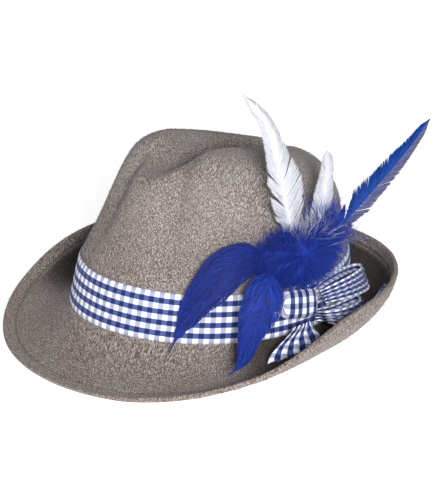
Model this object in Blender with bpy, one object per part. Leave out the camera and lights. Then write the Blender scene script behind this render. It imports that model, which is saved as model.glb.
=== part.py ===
"""A felt tyrolean hat with a checked ribbon, a bow and feathers, resting on z = 0.

Metres, +Z up. The front of the hat is -Y and the wearer's left side is +X.
A turn is an angle from the front, 90 at the wearer's left and 180 at the back.
Pieces are modelled round the oval of the head, then seated together on the surface.
"""

import math
from typing import NamedTuple, Sequence

import bmesh
import bpy
from mathutils import Matrix, Vector

# Felt
HEAD_LENGTH = 0.203
HEAD_WIDTH = 0.171
CROWN_HEIGHT = 0.117
BRIM_WIDTH = 0.050
FELT = 0.002
HEM_WIDTH = 0.0075
HEM_RAISE = 0.0008
HEM_STEP = 0.0009
RIM_ROUND = 0.0007
ROOT_TIP = 0.0033
ROOT_SADDLE = 0.0016
BRIM_CURL = 1.3
PINCH_DEPTH = 0.009
PINCH_TURN = 26.0
PINCH_SPREAD = 11.0
SEAT_SINK = 0.0008
PRESSED_FELT = 0.0011

# Ribbon
RIBBON_WIDTH = 0.0305
TRIM_UNIT = 0.036  # the unit of the tables for the bow, feathers and hackles
RIBBON = 0.0009
KNOT_WIDTH = 0.026
KNOT_HEIGHT = 0.018
KNOT_DEPTH = 0.010
KNOT_TURN = 86.0
KNOT_UP = 0.53
KNOT_TILT = 0.001
KNOT_PINCH = 0.45
KNOT_FLARE = 0.05
PLEAT = 0.0007

# Feathers
WHITE_TALL = 0.107
WHITE_SHORT = 0.056
BLUE_LONG = 0.116
BLUE_TUFT = 0.040
FEATHER_WIDTH = 0.017
VANE = 0.0009
QUILL = 0.0022
HACKLE_WIDTH = 0.023
HACKLE_DEPTH = 0.005
FLUFF_DEPTH = 0.017
FLUFF_HEIGHT = 0.034
FLUFF_BACK = 0.0012
FLUFF_TURN = 85.0
FLUFF_SPREAD = 23.0
FLUFF_UP = 0.86
LOCKS = 12
LOCK_REACH = 0.13
LOCK_SWELL = 0.10
CAMBER = 0.12
HACKLE_LIFT = 0.6
HACKLE_FULL = 0.7

GAP = 0.0003
SOCKET = ".socket"
COLUMNS = 60
SEGMENTS = 24
BAND_ROWS = 3


class BrimRow(NamedTuple):
    """The brim's section at one turn: its width as a share, and its slopes in degrees."""

    turn: float
    width: float
    root_slope: float
    rim_slope: float


class CrownRow(NamedTuple):
    """One level of the crown's wall: reaches as shares of the head's half sizes."""

    rise: float
    side: float
    front: float
    back: float
    pinch: float


class TopRow(NamedTuple):
    """The top of the crown across one place between its front, 0, and its back, 1."""

    back: float
    crest: float
    dent: float
    ridge: float


class RibbonRow(NamedTuple):
    """A place on a bow loop, with lengths in trim units."""

    turn: float
    up: float
    out: float
    width: float


class TailRow(NamedTuple):
    """A place on a ribbon end that lies on the brim: its two side turns, and its distance out."""

    out: float
    first_turn: float
    last_turn: float
    lift: float


class FeatherRow(NamedTuple):
    """A place on a quill, with lengths as shares of the feather's length."""

    along: float
    back: float
    up: float
    out: float
    width: float


class FeatherPlan(NamedTuple):
    """A quill feather: its root beside the crown, with up and out in trim units."""

    name: str
    rows: Sequence[FeatherRow]
    turn: float
    up: float
    out: float
    length: float
    finish: str


class HackleRow(NamedTuple):
    """A place on a drooping feather, with up and out in trim units."""

    turn: float
    up: float
    out: float
    width: float


BRIM_ROWS = (
    BrimRow(0, 0.98, -44, -8),
    BrimRow(30, 1.00, -42, 2),
    BrimRow(60, 1.00, -38, 40),
    BrimRow(90, 1.00, -26, 99),
    BrimRow(120, 0.85, -8, 86),
    BrimRow(150, 0.75, -1, 72),
    BrimRow(180, 0.70, 0, 66),
)
CROWN_ROWS = (
    CrownRow(0.00, 1.000, 1.000, 1.000, 0.00),
    CrownRow(0.10, 0.985, 0.975, 1.000, 0.00),
    CrownRow(0.32, 0.945, 0.915, 0.995, 0.05),
    CrownRow(0.50, 0.880, 0.810, 0.985, 0.35),
    CrownRow(0.70, 0.800, 0.710, 0.970, 0.75),
    CrownRow(0.86, 0.735, 0.640, 0.950, 1.00),
    CrownRow(1.00, 0.660, 0.575, 0.900, 1.00),
)
TOP_ROWS = (
    TopRow(0.00, 1.000, 0.145, 0.60),
    TopRow(0.12, 0.990, 0.170, 0.36),
    TopRow(0.30, 0.955, 0.180, 0.32),
    TopRow(0.50, 0.890, 0.150, 0.28),
    TopRow(0.75, 0.815, 0.080, 0.18),
    TopRow(1.00, 0.765, 0.000, 0.10),
)
SHOULDER_FALL = 0.105
NOTCH_KEEP = 0.20
WALL_RISES = (0.05, 0.18, 0.32, 0.46, 0.60, 0.74, 0.86, 0.94, 1.00)
TOP_SHARES = (0.93, 0.82, 0.68, 0.52, 0.35, 0.18)
BRIM_SHARES = (0.80, 0.60, 0.42, 0.26, 0.12, 0.0)

UPPER_LOOP = (
    RibbonRow(94, 0.59, 0.12, 0.26),
    RibbonRow(102, 0.60, 0.08, 0.40),
    RibbonRow(113, 0.57, 0.09, 0.46),
    RibbonRow(124, 0.50, 0.16, 0.44),
    RibbonRow(127, 0.48, 0.30, 0.42),
    RibbonRow(120, 0.52, 0.42, 0.44),
    RibbonRow(107, 0.59, 0.42, 0.38),
    RibbonRow(95, 0.58, 0.27, 0.26),
)
LOWER_LOOP = (
    RibbonRow(94, 0.25, 0.16, 0.22),
    RibbonRow(102, 0.16, 0.22, 0.33),
    RibbonRow(110, 0.13, 0.30, 0.40),
    RibbonRow(115, 0.13, 0.44, 0.42),
    RibbonRow(110, 0.12, 0.58, 0.40),
    RibbonRow(101, 0.15, 0.54, 0.35),
    RibbonRow(94, 0.23, 0.36, 0.22),
)
FRONT_TAIL = (
    TailRow(0.13, 80.0, 88.5, 0.34),
    TailRow(0.21, 77.0, 89.0, 0.29),
    TailRow(0.29, 73.5, 89.0, 0.22),
    TailRow(0.38, 70.5, 88.5, 0.14),
    TailRow(0.46, 68.5, 87.5, 0.01),
)
BACK_TAIL = (
    TailRow(0.50, 115.0, 122.0, 0.02),
    TailRow(0.58, 115.0, 123.5, 0.04),
    TailRow(0.66, 115.0, 124.0, 0.05),
    TailRow(0.74, 116.0, 124.0, 0.04),
)
LEFT_HACKLE = (
    HackleRow(68, 1.42, 0.18, 0.50),
    HackleRow(61, 1.40, 0.26, 0.95),
    HackleRow(54, 1.25, 0.28, 1.15),
    HackleRow(49, 1.00, 0.24, 1.10),
    HackleRow(44, 0.70, 0.20, 0.80),
    HackleRow(40, 0.34, 0.18, 0.48),
    HackleRow(37, 0.02, 0.20, 0.14),
)
DOWN_HACKLE = (
    HackleRow(70, 1.10, 0.36, 0.85),
    HackleRow(68, 0.92, 0.44, 1.10),
    HackleRow(66, 0.70, 0.46, 1.12),
    HackleRow(64, 0.46, 0.46, 0.98),
    HackleRow(62, 0.20, 0.52, 0.66),
    HackleRow(59, 0.00, 0.74, 0.42),
    HackleRow(54, -0.08, 1.12, 0.12),
)
TALL_QUILL = (
    FeatherRow(0.00, 0.00, 0.00, 0.00, 0.40),
    FeatherRow(0.12, -0.02, 0.12, -0.01, 0.80),
    FeatherRow(0.30, -0.06, 0.29, -0.02, 1.02),
    FeatherRow(0.55, -0.12, 0.53, -0.02, 0.72),
    FeatherRow(0.78, -0.20, 0.75, -0.03, 0.40),
    FeatherRow(0.92, -0.295, 0.88, -0.05, 0.22),
    FeatherRow(1.00, -0.36, 0.95, -0.06, 0.08),
)
SHORT_QUILL = (
    FeatherRow(0.00, 0.00, 0.00, 0.00, 0.40),
    FeatherRow(0.35, 0.10, 0.33, 0.00, 0.75),
    FeatherRow(0.75, 0.22, 0.71, -0.03, 0.48),
    FeatherRow(1.00, 0.25, 0.95, -0.06, 0.05),
)
LONG_QUILL = (
    FeatherRow(0.00, 0.00, 0.00, 0.00, 0.40),
    FeatherRow(0.25, 0.20, 0.14, 0.01, 1.00),
    FeatherRow(0.55, 0.45, 0.300, 0.02, 0.82),
    FeatherRow(0.80, 0.66, 0.43, 0.02, 0.40),
    FeatherRow(1.00, 0.83, 0.545, 0.01, 0.10),
)
TUFT_QUILL = (
    FeatherRow(0.00, 0.00, 0.00, 0.00, 0.45),
    FeatherRow(0.45, 0.06, 0.44, 0.00, 0.85),
    FeatherRow(1.00, 0.20, 0.96, 0.00, 0.12),
)
FEATHERS = (
    FeatherPlan("white_feather_tall", TALL_QUILL, 81.5, 1.58, 0.20, WHITE_TALL, "white"),
    FeatherPlan("white_feather_short", SHORT_QUILL, 92, 1.58, 0.24, WHITE_SHORT, "white"),
    FeatherPlan("blue_tuft", TUFT_QUILL, 98, 1.50, 0.12, BLUE_TUFT, "blue"),
    FeatherPlan("blue_feather_long", LONG_QUILL, 101, 1.40, 0.20, BLUE_LONG, "blue"),
)

FINISHES = {
    "felt": ((0.26, 0.21, 0.185), 0.95),
    "ribbon": ((0.30, 0.34, 0.62), 0.8),
    "white": ((0.86, 0.88, 0.92), 0.85),
    "blue": ((0.03, 0.13, 0.42), 0.85),
}

Grid = list[list[Vector]]


def along(rows: Sequence, key: str, name: str, where: float) -> float:
    """One column of a table, read smoothly at a place, level at both ends of the table."""
    places = [getattr(row, key) for row in rows]
    values = [getattr(row, name) for row in rows]
    where = min(max(where, places[0]), places[-1])
    last = len(rows) - 1
    slopes = [0.0] * len(rows)
    for index in range(1, last):
        step = places[index + 1] - places[index - 1]
        slopes[index] = (values[index + 1] - values[index - 1]) / step
    index = max(i for i in range(last) if places[i] <= where)
    step = places[index + 1] - places[index]
    share = (where - places[index]) / step
    rest = 1 - share
    first = values[index] * (1 + 2 * share) * rest**2
    second = values[index + 1] * (1 + 2 * rest) * share**2
    bend = step * share * rest * (slopes[index] * rest - slopes[index + 1] * share)
    return first + second + bend


def from_front(turn: float) -> float:
    """The turn as an angle from the front, the same on both sides."""
    return abs((turn + 180) % 360 - 180)


def smooth(value: float) -> float:
    """A soft step from 0 to 1."""
    value = min(max(value, 0.0), 1.0)
    return value * value * (3 - 2 * value)


def oval(turn: float, out: float = 0.0) -> Vector:
    """A point of the head's oval, moved outwards in plan."""
    angle = math.radians(turn)
    half_x = HEAD_WIDTH / 2
    half_y = HEAD_LENGTH / 2
    away = Vector((math.sin(angle) / half_x, -math.cos(angle) / half_y, 0)).normalized()
    return Vector((half_x * math.sin(angle), -half_y * math.cos(angle), 0)) + away * out


def root_height(turn: float) -> float:
    """The height of the line where the brim leaves the crown."""
    angle = math.radians(turn)
    return ROOT_TIP * math.cos(angle) + ROOT_SADDLE * math.cos(2 * angle)


def brim_width(turn: float) -> float:
    """The width of the brim along the felt."""
    return BRIM_WIDTH * along(BRIM_ROWS, "turn", "width", from_front(turn))


def brim_point(turn: float, distance: float, lift: float = 0.0) -> Vector:
    """A point of the brim's upper side, a distance along the felt from its root."""
    width = brim_width(turn)
    root = math.radians(along(BRIM_ROWS, "turn", "root_slope", from_front(turn)))
    rim = math.radians(along(BRIM_ROWS, "turn", "rim_slope", from_front(turn)))
    step = distance / SEGMENTS
    out = 0.0
    up = 0.0
    for index in range(SEGMENTS):
        share = (index + 0.5) * step / width
        slope = root + (rim - root) * share**BRIM_CURL
        out += math.cos(slope) * step
        up += math.sin(slope) * step
    slope = root + (rim - root) * (distance / width) ** BRIM_CURL
    point = oval(turn, out - math.sin(slope) * lift)
    point.z = root_height(turn) + up + math.cos(slope) * lift
    return point


def top_height(x: float, y: float, share: float) -> float:
    """The height of the crown's top above the root's plane, a share of the way out."""
    front = -CROWN_ROWS[-1].front * HEAD_LENGTH / 2
    length = (CROWN_ROWS[-1].front + CROWN_ROWS[-1].back) * HEAD_LENGTH / 2
    back = (y - front) / length
    crest = along(TOP_ROWS, "back", "crest", back)
    dent = along(TOP_ROWS, "back", "dent", back)
    ridge = along(TOP_ROWS, "back", "ridge", back) * HEAD_WIDTH / 2
    notch = dent * (1 - smooth(abs(x) / ridge))
    fall = SHOULDER_FALL * share**6 * (1 - notch / NOTCH_KEEP)
    return CROWN_HEIGHT * (crest - notch - fall)


def ring_point(row: CrownRow, turn: float, share: float) -> Vector:
    """A point of one level of the crown in plan, with its pinches, a share of the way out."""
    angle = math.radians(turn)
    centre = (row.back - row.front) * HEAD_LENGTH / 4
    half_y = (row.back + row.front) * HEAD_LENGTH / 4
    half_x = row.side * HEAD_WIDTH / 2
    away = Vector((math.sin(angle) / half_x, -math.cos(angle) / half_y, 0)).normalized()
    near = (from_front(turn) - PINCH_TURN) / PINCH_SPREAD
    pinch = PINCH_DEPTH * row.pinch * math.exp(-near * near) * smooth((share - 0.55) / 0.45)
    middle = Vector((0, centre, 0))
    reach = Vector((half_x * math.sin(angle), -half_y * math.cos(angle), 0))
    return middle + reach * share - away * pinch


def top_point(turn: float, share: float) -> Vector:
    """A point of the crown's top, from its middle, 0, to its shoulder, 1."""
    point = ring_point(CROWN_ROWS[-1], turn, share)
    point.z = top_height(point.x, point.y, share)
    return point


def wall_point(turn: float, rise: float) -> Vector:
    """A point of the crown's wall, from its root, 0, to its shoulder, 1."""
    columns = ("side", "front", "back", "pinch")
    row = CrownRow(rise, *(along(CROWN_ROWS, "rise", name, rise) for name in columns))
    point = ring_point(row, turn, 1.0)
    root = root_height(turn)
    point.z = root + rise * (top_point(turn, 1.0).z - root)
    return point


def beside(turn: float, up: float, out: float) -> Vector:
    """A point beside the crown's wall: its height over the root, and its distance off the felt."""
    height = top_point(turn, 1.0).z - root_height(turn)
    rise = max(up / height, 0.0)
    step = 0.01
    here = wall_point(turn, rise)
    across = wall_point(turn + 1, rise) - wall_point(turn - 1, rise)
    upwards = wall_point(turn, rise + step) - wall_point(turn, max(rise - step, 0))
    below = Vector((0, 0, min(up, 0.0)))
    return here + across.cross(upwards).normalized() * out + below


def normals_of(grid: Grid, wrap: bool) -> Grid:
    """The normal at each point of a grid, from its neighbours."""
    rows = len(grid)
    columns = len(grid[0])
    found = []
    for i in range(rows):
        line = []
        for j in range(columns):
            before = (j - 1) % columns if wrap else max(j - 1, 0)
            after = (j + 1) % columns if wrap else min(j + 1, columns - 1)
            down = grid[min(i + 1, rows - 1)][j] - grid[max(i - 1, 0)][j]
            side = grid[i][after] - grid[i][before]
            line.append(side.cross(down).normalized())
        found.append(line)
    return found


def add_piece(name: str, points: Sequence[Vector], faces: Sequence, finish: str) -> None:
    """Adds a closed body to the scene, seated with the rest and facing outwards."""
    mesh = bpy.data.meshes.new(name)
    mesh.from_pydata([SEAT @ point for point in points], [], faces)
    body = bmesh.new()
    body.from_mesh(mesh)
    bmesh.ops.recalc_face_normals(body, faces=body.faces)
    for face in body.faces:
        face.smooth = True
    body.to_mesh(mesh)
    body.free()
    piece = bpy.data.objects.new(name, mesh)
    bpy.context.collection.objects.link(piece)
    mesh.materials.append(material(name, *FINISHES[finish]))


def material(name: str, colour: tuple, roughness: float) -> bpy.types.Material:
    """A plain cloth material for one piece."""
    made = bpy.data.materials.new(name)
    made.use_nodes = True
    shader = made.node_tree.nodes["Principled BSDF"]
    shader.inputs["Base Color"].default_value = (*colour, 1)
    shader.inputs["Roughness"].default_value = roughness
    return made


def thick_sheet(name: str, front: Grid, back: Grid, finish: str, wrap: bool = False) -> None:
    """A closed body between two grids of the same size."""
    rows = len(front)
    columns = len(front[0])
    points = [point for grid in (front, back) for line in grid for point in line]
    offset = rows * columns
    faces = []
    last = columns if wrap else columns - 1
    for i in range(rows - 1):
        for j in range(last):
            k = (j + 1) % columns
            quad = (i * columns + j, i * columns + k, (i + 1) * columns + k, (i + 1) * columns + j)
            faces.append(quad)
            faces.append(tuple(offset + corner for corner in reversed(quad)))
    for i, start in ((0, 0), (rows - 1, (rows - 1) * columns)):
        for j in range(last):
            a = start + j
            b = start + (j + 1) % columns
            edge = (b, a, offset + a, offset + b)
            faces.append(edge if i == 0 else tuple(reversed(edge)))
    if not wrap:
        for i in range(rows - 1):
            a = i * columns
            b = a + columns
            faces.append((a, b, offset + b, offset + a))
            a += last
            b += last
            faces.append((b, a, offset + a, offset + b))
    add_piece(name, points, faces, finish)


def loft(name: str, rings: Sequence[Sequence[Vector]], finish: str) -> None:
    """A closed body through a row of rings, with its two ends drawn to a point."""
    count = len(rings[0])
    points = [point for ring in rings for point in ring]
    faces = []
    for i in range(len(rings) - 1):
        for j in range(count):
            k = (j + 1) % count
            a = i * count
            b = a + count
            faces.append((a + j, a + k, b + k, b + j))
    for start in (0, (len(rings) - 1) * count):
        ring = points[start : start + count]
        tip = len(points)
        points.append(sum(ring, Vector()) / count)
        faces.extend((start + j, start + (j + 1) % count, tip) for j in range(count))
    add_piece(name, points, faces, finish)


def brim_distances(turn: float) -> list[float]:
    """The brim's rows as distances from its root, from the rim inwards."""
    width = brim_width(turn)
    hem = (width, width - HEM_WIDTH / 2, width - HEM_WIDTH)
    inner = width - HEM_WIDTH - HEM_STEP
    return [*hem, inner, *(inner * share for share in BRIM_SHARES)]


def felt_grid() -> Grid:
    """The upper side of the felt, from the brim's rim to near the middle of the dent."""
    turns = [360 * j / COLUMNS for j in range(COLUMNS)]
    brim = list(zip(*[[brim_point(t, s) for s in brim_distances(t)] for t in turns]))
    walls = [[wall_point(t, rise) for t in turns] for rise in WALL_RISES]
    tops = [[top_point(t, share) for t in turns] for share in TOP_SHARES]
    return [list(row) for row in brim] + walls + tops


def find_seat() -> Matrix:
    """The move that lets the front edge and the back of the brim touch the surface together."""
    turns = [360 * j / COLUMNS for j in range(COLUMNS)]
    under = [brim_point(t, s, -FELT) for t in turns for s in brim_distances(t)]
    tip = 0.0
    lowest = 0.0
    for _ in range(6):
        points = [Matrix.Rotation(-tip, 3, "X") @ point for point in under]
        front = min((p for p in points if p.y < 0), key=lambda p: p.z)
        back = min((p for p in points if p.y > 0), key=lambda p: p.z)
        tip += math.atan2(back.z - front.z, back.y - front.y)
        lowest = min(front.z, back.z)
    down = Matrix.Translation((0, 0, -lowest - SEAT_SINK))
    return down @ Matrix.Rotation(-tip, 4, "X")


def pressed(point: Vector, least: float) -> Vector:
    """The point kept at a least height over the surface, as where felt is pressed flat."""
    seated = SEAT @ point
    seated.z = max(seated.z, least)
    return SEAT.inverted() @ seated


def felt_body() -> None:
    """The crown and brim, one felt skin with an upper side, an under side and a round rim."""
    upper = felt_grid()
    normals = normals_of(upper, True)
    middle = top_point(0, 0)
    outer = []
    inner = []
    for i, line in enumerate(upper):
        raise_by = HEM_RAISE if i < 3 else 0.0
        outer.append([pressed(p + n * raise_by, PRESSED_FELT) for p, n in zip(line, normals[i])])
        inner.append([pressed(p - n * FELT, 0.0) for p, n in zip(line, normals[i])])
    rim = []
    for j in range(COLUMNS):
        away = (upper[0][j] - upper[1][j]).normalized()
        half = (outer[0][j] + inner[0][j]) / 2
        rim.append(half + away * RIM_ROUND)
    rings = [*reversed(inner), rim, *outer]
    points = [point for ring in rings for point in ring]
    faces = []
    for i in range(len(rings) - 1):
        for j in range(COLUMNS):
            k = (j + 1) % COLUMNS
            a = i * COLUMNS
            b = a + COLUMNS
            faces.append((a + j, a + k, b + k, b + j))
    for start, tip in ((0, middle - Vector((0, 0, FELT))), (len(points) - COLUMNS, middle)):
        faces.extend((start + j, start + (j + 1) % COLUMNS, len(points)) for j in range(COLUMNS))
        points.append(tip)
    add_piece("felt_body", points, faces, "felt")


def hat_band() -> None:
    """The ribbon round the foot of the crown."""
    front = []
    back = []
    for turn in (360 * j / COLUMNS for j in range(COLUMNS)):
        height = top_point(turn, 1.0).z - root_height(turn)
        between = [height * rise for rise in WALL_RISES if height * rise < RIBBON_WIDTH - GAP]
        ups = [GAP * 2, *between[:BAND_ROWS], RIBBON_WIDTH]
        front.append([beside(turn, up, GAP + RIBBON) for up in ups])
        back.append([beside(turn, up, GAP) for up in ups])
    thick_sheet("hat_band", list(zip(*front)), list(zip(*back)), "ribbon", wrap=True)


def bow_knot() -> None:
    """The knot, a pleated cushion on the band."""
    stations = 9
    count = 14
    off = GAP * 2 + RIBBON
    spread = math.degrees(KNOT_WIDTH / HEAD_LENGTH * 2)
    rings = []
    for i in range(stations):
        place = i / (stations - 1) * 2 - 1
        bulge = (1 - abs(place) ** 4 * KNOT_PINCH) * (1 + KNOT_FLARE * place)
        pleat = PLEAT * (-1) ** i
        middle = TRIM_UNIT * KNOT_UP - KNOT_TILT * place
        ring = []
        for j in range(count):
            angle = 2 * math.pi * j / count
            up = middle + KNOT_HEIGHT / 2 * math.sin(angle) * bulge
            round_out = (1 - math.cos(angle)) / 2 * KNOT_DEPTH * bulge
            lift = pleat if math.cos(angle) < 0 else 0.0
            ring.append(beside(KNOT_TURN + spread / 2 * place, up, off + round_out + lift))
        rings.append(ring)
    loft("bow_knot", rings, "ribbon")


def path_beside(rows: Sequence) -> list[tuple[Vector, float, float]]:
    """The points, widths and turns of a path beside the crown, with a point added in each step."""
    spots = [beside(r.turn, r.up * TRIM_UNIT, r.out * TRIM_UNIT) for r in rows]
    path = [(spots[0], rows[0].width, rows[0].turn)]
    for i, (here, after) in enumerate(zip(rows, rows[1:])):
        width = (here.width + after.width) / 2
        path.append((curve_point(spots, i, 0.5), width, (here.turn + after.turn) / 2))
        path.append((spots[i + 1], after.width, after.turn))
    return path


def ribbon_loop(name: str, rows: Sequence[RibbonRow], lean: float) -> None:
    """A loop of ribbon that leaves the knot and comes back to it."""
    across = 4
    front = []
    for point, width, turn in path_beside(rows):
        side = Vector((lean, 0, 1)).normalized() * width * TRIM_UNIT
        line = [point + side * (j / across - 0.5) for j in range(across + 1)]
        front.append([over_brim(spot, turn) for spot in line])
    normals = normals_of(front, False)
    back = [[p + n * RIBBON for p, n in zip(line, ns)] for line, ns in zip(front, normals)]
    thick_sheet(name, front, back, "ribbon")


def over_brim(point: Vector, turn: float) -> Vector:
    """The point kept clear of the brim, as where ribbon rests on the felt."""
    away = point - oval(turn)
    brim = brim_point(turn, math.hypot(away.x, away.y))
    return Vector((point.x, point.y, max(point.z, brim.z + RIBBON + GAP * 3)))


def curve_point(points: Sequence[Vector], index: int, share: float) -> Vector:
    """A point of the smooth curve through a row of points."""
    last = len(points) - 1
    before = points[max(index - 1, 0)]
    start = points[index]
    end = points[index + 1]
    after = points[min(index + 2, last)]
    straight = start.lerp(end, share)
    swing = (end - before) * (1 - share) - (after - start) * share
    return straight + (swing - (end - start) * (1 - 2 * share)) * share * (1 - share) * 0.5


def ribbon_tail(name: str, rows: Sequence[TailRow], pleats: int) -> None:
    """A ribbon end that lies on the brim in pleats."""
    across = pleats * 2
    front = []
    back = []
    for row in rows:
        upper = []
        lower = []
        for j in range(across + 1):
            turn = row.first_turn + (row.last_turn - row.first_turn) * j / across
            lift = row.lift * TRIM_UNIT + (PLEAT if j % 2 else 0.0)
            distance = row.out * BRIM_WIDTH
            upper.append(brim_point(turn, distance, lift + RIBBON))
            lower.append(brim_point(turn, distance, lift))
        front.append(upper)
        back.append(lower)
    thick_sheet(name, front, back, "ribbon")


def feather(plan: FeatherPlan, grow: float = 0.0) -> None:
    """A quill feather: a thin cambered blade, thicker along its quill."""
    count = 9
    across = 4
    rows = plan.rows
    start = beside(plan.turn, plan.up * TRIM_UNIT, plan.out * TRIM_UNIT)
    middle = []
    widths = []
    for i in range(count):
        place = i / (count - 1)
        out, back, up = (along_open(rows, column, place) for column in ("out", "back", "up"))
        middle.append(start + Vector((out, back, up)) * plan.length)
        widths.append(along_open(rows, "width", place) * FEATHER_WIDTH + grow * 2)
    middle[0] -= (middle[1] - middle[0]).normalized() * grow
    front = []
    rear = []
    for i, (point, width) in enumerate(zip(middle, widths)):
        ahead = middle[min(i + 1, count - 1)] - middle[max(i - 1, 0)]
        side = ahead.cross(Vector((1, 0, 0))).normalized()
        face = side.cross(ahead).normalized()
        near = []
        far = []
        for j in range(across + 1):
            place = j / across * 2 - 1
            camber = face * (width - grow * 2) * CAMBER * (1 - place * place)
            thick = VANE + (QUILL - VANE) * (1 - abs(place)) ** 2 + grow * 2
            spot = point + side * place * width / 2 + camber
            near.append(spot + face * thick / 2)
            far.append(spot - face * thick / 2)
        front.append(near)
        rear.append(far)
    thick_sheet(plan.name + SOCKET if grow else plan.name, front, rear, plan.finish)


def along_open(rows: Sequence[FeatherRow], name: str, where: float) -> float:
    """One column of a feather's table, read along straight lines that are eased at their joins."""
    places = [row.along for row in rows]
    values = [getattr(row, name) for row in rows]
    index = max(i for i in range(len(rows) - 1) if places[i] <= where)
    share = (where - places[index]) / (places[index + 1] - places[index])
    return values[index] + (values[index + 1] - values[index]) * share


def hackle(name: str, rows: Sequence[HackleRow], grow: float = 0.0) -> None:
    """A soft drooping feather, a lens in section that tapers to its tip."""
    stations = path_beside(rows)
    path = [point for point, _, _ in stations]
    widths = [width for _, width, _ in stations]
    path[0] -= (path[1] - path[0]).normalized() * grow
    count = 10
    rings = []
    for i, (point, width) in enumerate(zip(path, widths)):
        ahead = path[min(i + 1, len(path) - 1)] - path[max(i - 1, 0)]
        away = Vector((point.x, point.y, 0)).normalized() + Vector((0, 0, HACKLE_LIFT))
        side = ahead.cross(away).normalized()
        face = side.cross(ahead).normalized()
        wide = width * HACKLE_WIDTH / 2 + grow
        deep = min(width, HACKLE_FULL) * HACKLE_DEPTH / 2 + grow
        ring = []
        for j in range(count):
            angle = 2 * math.pi * j / count
            ring.append(point + side * math.cos(angle) * wide + face * math.sin(angle) * deep)
        rings.append(ring)
    loft(name + SOCKET if grow else name, rings, "blue")


def cut_sockets(name: str) -> None:
    """Opens the down where quills run into it, with a small clearance."""
    down = bpy.data.objects[name]
    for cutter in [piece for piece in bpy.data.objects if piece.name.endswith(SOCKET)]:
        cutter.hide_render = True
        cutter.display_type = "WIRE"
        socket = down.modifiers.new(cutter.name, "BOOLEAN")
        socket.operation = "DIFFERENCE"
        socket.solver = "EXACT"
        socket.object = cutter


def fluff_ring(share: float, dome: float) -> list[Vector]:
    """One ring of the down: its share of the reach, and its height as a share of the depth."""
    count = 36
    middle_up = TRIM_UNIT * FLUFF_UP + FLUFF_HEIGHT / 2
    off = GAP * 2 + RIBBON
    found = []
    for j in range(count):
        angle = 2 * math.pi * j / count
        wave = math.cos(LOCKS * angle)
        reach = share * (1 + LOCK_REACH * wave * share**2)
        turn = FLUFF_TURN + FLUFF_SPREAD * reach * math.cos(angle)
        up = middle_up + FLUFF_HEIGHT / 2 * reach * math.sin(angle)
        swell = FLUFF_BACK + FLUFF_DEPTH * dome * (1 + LOCK_SWELL * wave * share)
        found.append(beside(turn, up, off + swell if dome >= 0 else off))
    return found


def blue_fluff() -> None:
    """The down over the quills: a dome on the crown's side, drawn out into locks."""
    rings = [fluff_ring(share, -1.0) for share in (0.3, 0.7, 0.95)]
    for share in (1.0, 0.9, 0.72, 0.5, 0.25):
        rings.append(fluff_ring(share, math.sqrt(1 - share * share)))
    loft("blue_fluff", rings, "blue")


for old in list(bpy.data.objects):
    bpy.data.objects.remove(old)
SEAT = find_seat()
felt_body()
hat_band()
bow_knot()
ribbon_loop("bow_loop_upper", UPPER_LOOP, -0.15)
ribbon_loop("bow_loop_lower", LOWER_LOOP, -0.5)
ribbon_tail("bow_tail_front", FRONT_TAIL, 5)
ribbon_tail("bow_tail_back", BACK_TAIL, 2)
blue_fluff()
for grown in (0.0, GAP):
    for plan in FEATHERS:
        feather(plan, grown)
    hackle("blue_hackle_left", LEFT_HACKLE, grown)
    hackle("blue_hackle_down", DOWN_HACKLE, grown)
cut_sockets("blue_fluff")
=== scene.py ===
"""A felt tyrolean hat with a checked ribbon, a bow and feathers, dressed for a studio view.

Metres, +Z up. The front of the hat is -Y and the wearer's left side is +X.
A turn is an angle from the front, 90 at the wearer's left and 180 at the back.
Pieces are shaped round the oval of the head, then seated together on the table.
"""

import logging
import math
import random
from dataclasses import dataclass, field
from enum import Enum
from functools import cached_property
from typing import NamedTuple, Optional, Sequence

import bmesh
import bpy
from mathutils import Matrix, Vector, noise


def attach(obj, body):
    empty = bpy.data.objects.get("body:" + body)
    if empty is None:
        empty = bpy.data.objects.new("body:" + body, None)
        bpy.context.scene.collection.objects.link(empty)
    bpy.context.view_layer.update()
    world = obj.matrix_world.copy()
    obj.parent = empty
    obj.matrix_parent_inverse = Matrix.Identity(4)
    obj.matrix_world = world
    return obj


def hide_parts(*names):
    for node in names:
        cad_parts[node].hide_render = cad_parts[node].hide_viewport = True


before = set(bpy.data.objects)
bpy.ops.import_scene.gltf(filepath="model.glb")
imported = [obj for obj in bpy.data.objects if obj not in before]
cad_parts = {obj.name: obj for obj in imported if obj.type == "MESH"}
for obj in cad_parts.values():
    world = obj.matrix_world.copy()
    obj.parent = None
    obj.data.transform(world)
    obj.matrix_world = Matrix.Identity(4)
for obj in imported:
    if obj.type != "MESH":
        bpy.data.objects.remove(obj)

LOG = logging.getLogger("hat")

Colour = tuple[float, float, float]
Grid = list[list[Vector]]
Flat = list[list[tuple[float, float]]]
Material = bpy.types.Material
Node = bpy.types.Node
Piece = bpy.types.Object
Socket = bpy.types.NodeSocket


# Tables


class BrimRow(NamedTuple):
    """The brim's section at one turn: its width as a share, and its slopes in degrees."""

    turn: float
    width: float
    root_slope: float
    rim_slope: float


class CrownRow(NamedTuple):
    """One level of the crown's wall: reaches as shares of the head's half sizes."""

    rise: float
    side: float
    front: float
    back: float
    pinch: float


class TopRow(NamedTuple):
    """The top of the crown across one place between its front, 0, and its back, 1."""

    back: float
    crest: float
    dent: float
    ridge: float


class LoopRow(NamedTuple):
    """A place on a bow loop, with lengths in trim units."""

    turn: float
    up: float
    out: float
    width: float


class TailRow(NamedTuple):
    """A place on a ribbon end on the brim: its distance out, its two side turns and its lift."""

    out: float
    first_turn: float
    last_turn: float
    lift: float


class QuillRow(NamedTuple):
    """A place on a quill, with lengths as shares of the feather's length."""

    along: float
    back: float
    up: float
    out: float
    width: float


class HackleRow(NamedTuple):
    """A place on a drooping feather, with up and out in trim units."""

    turn: float
    up: float
    out: float
    width: float


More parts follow.
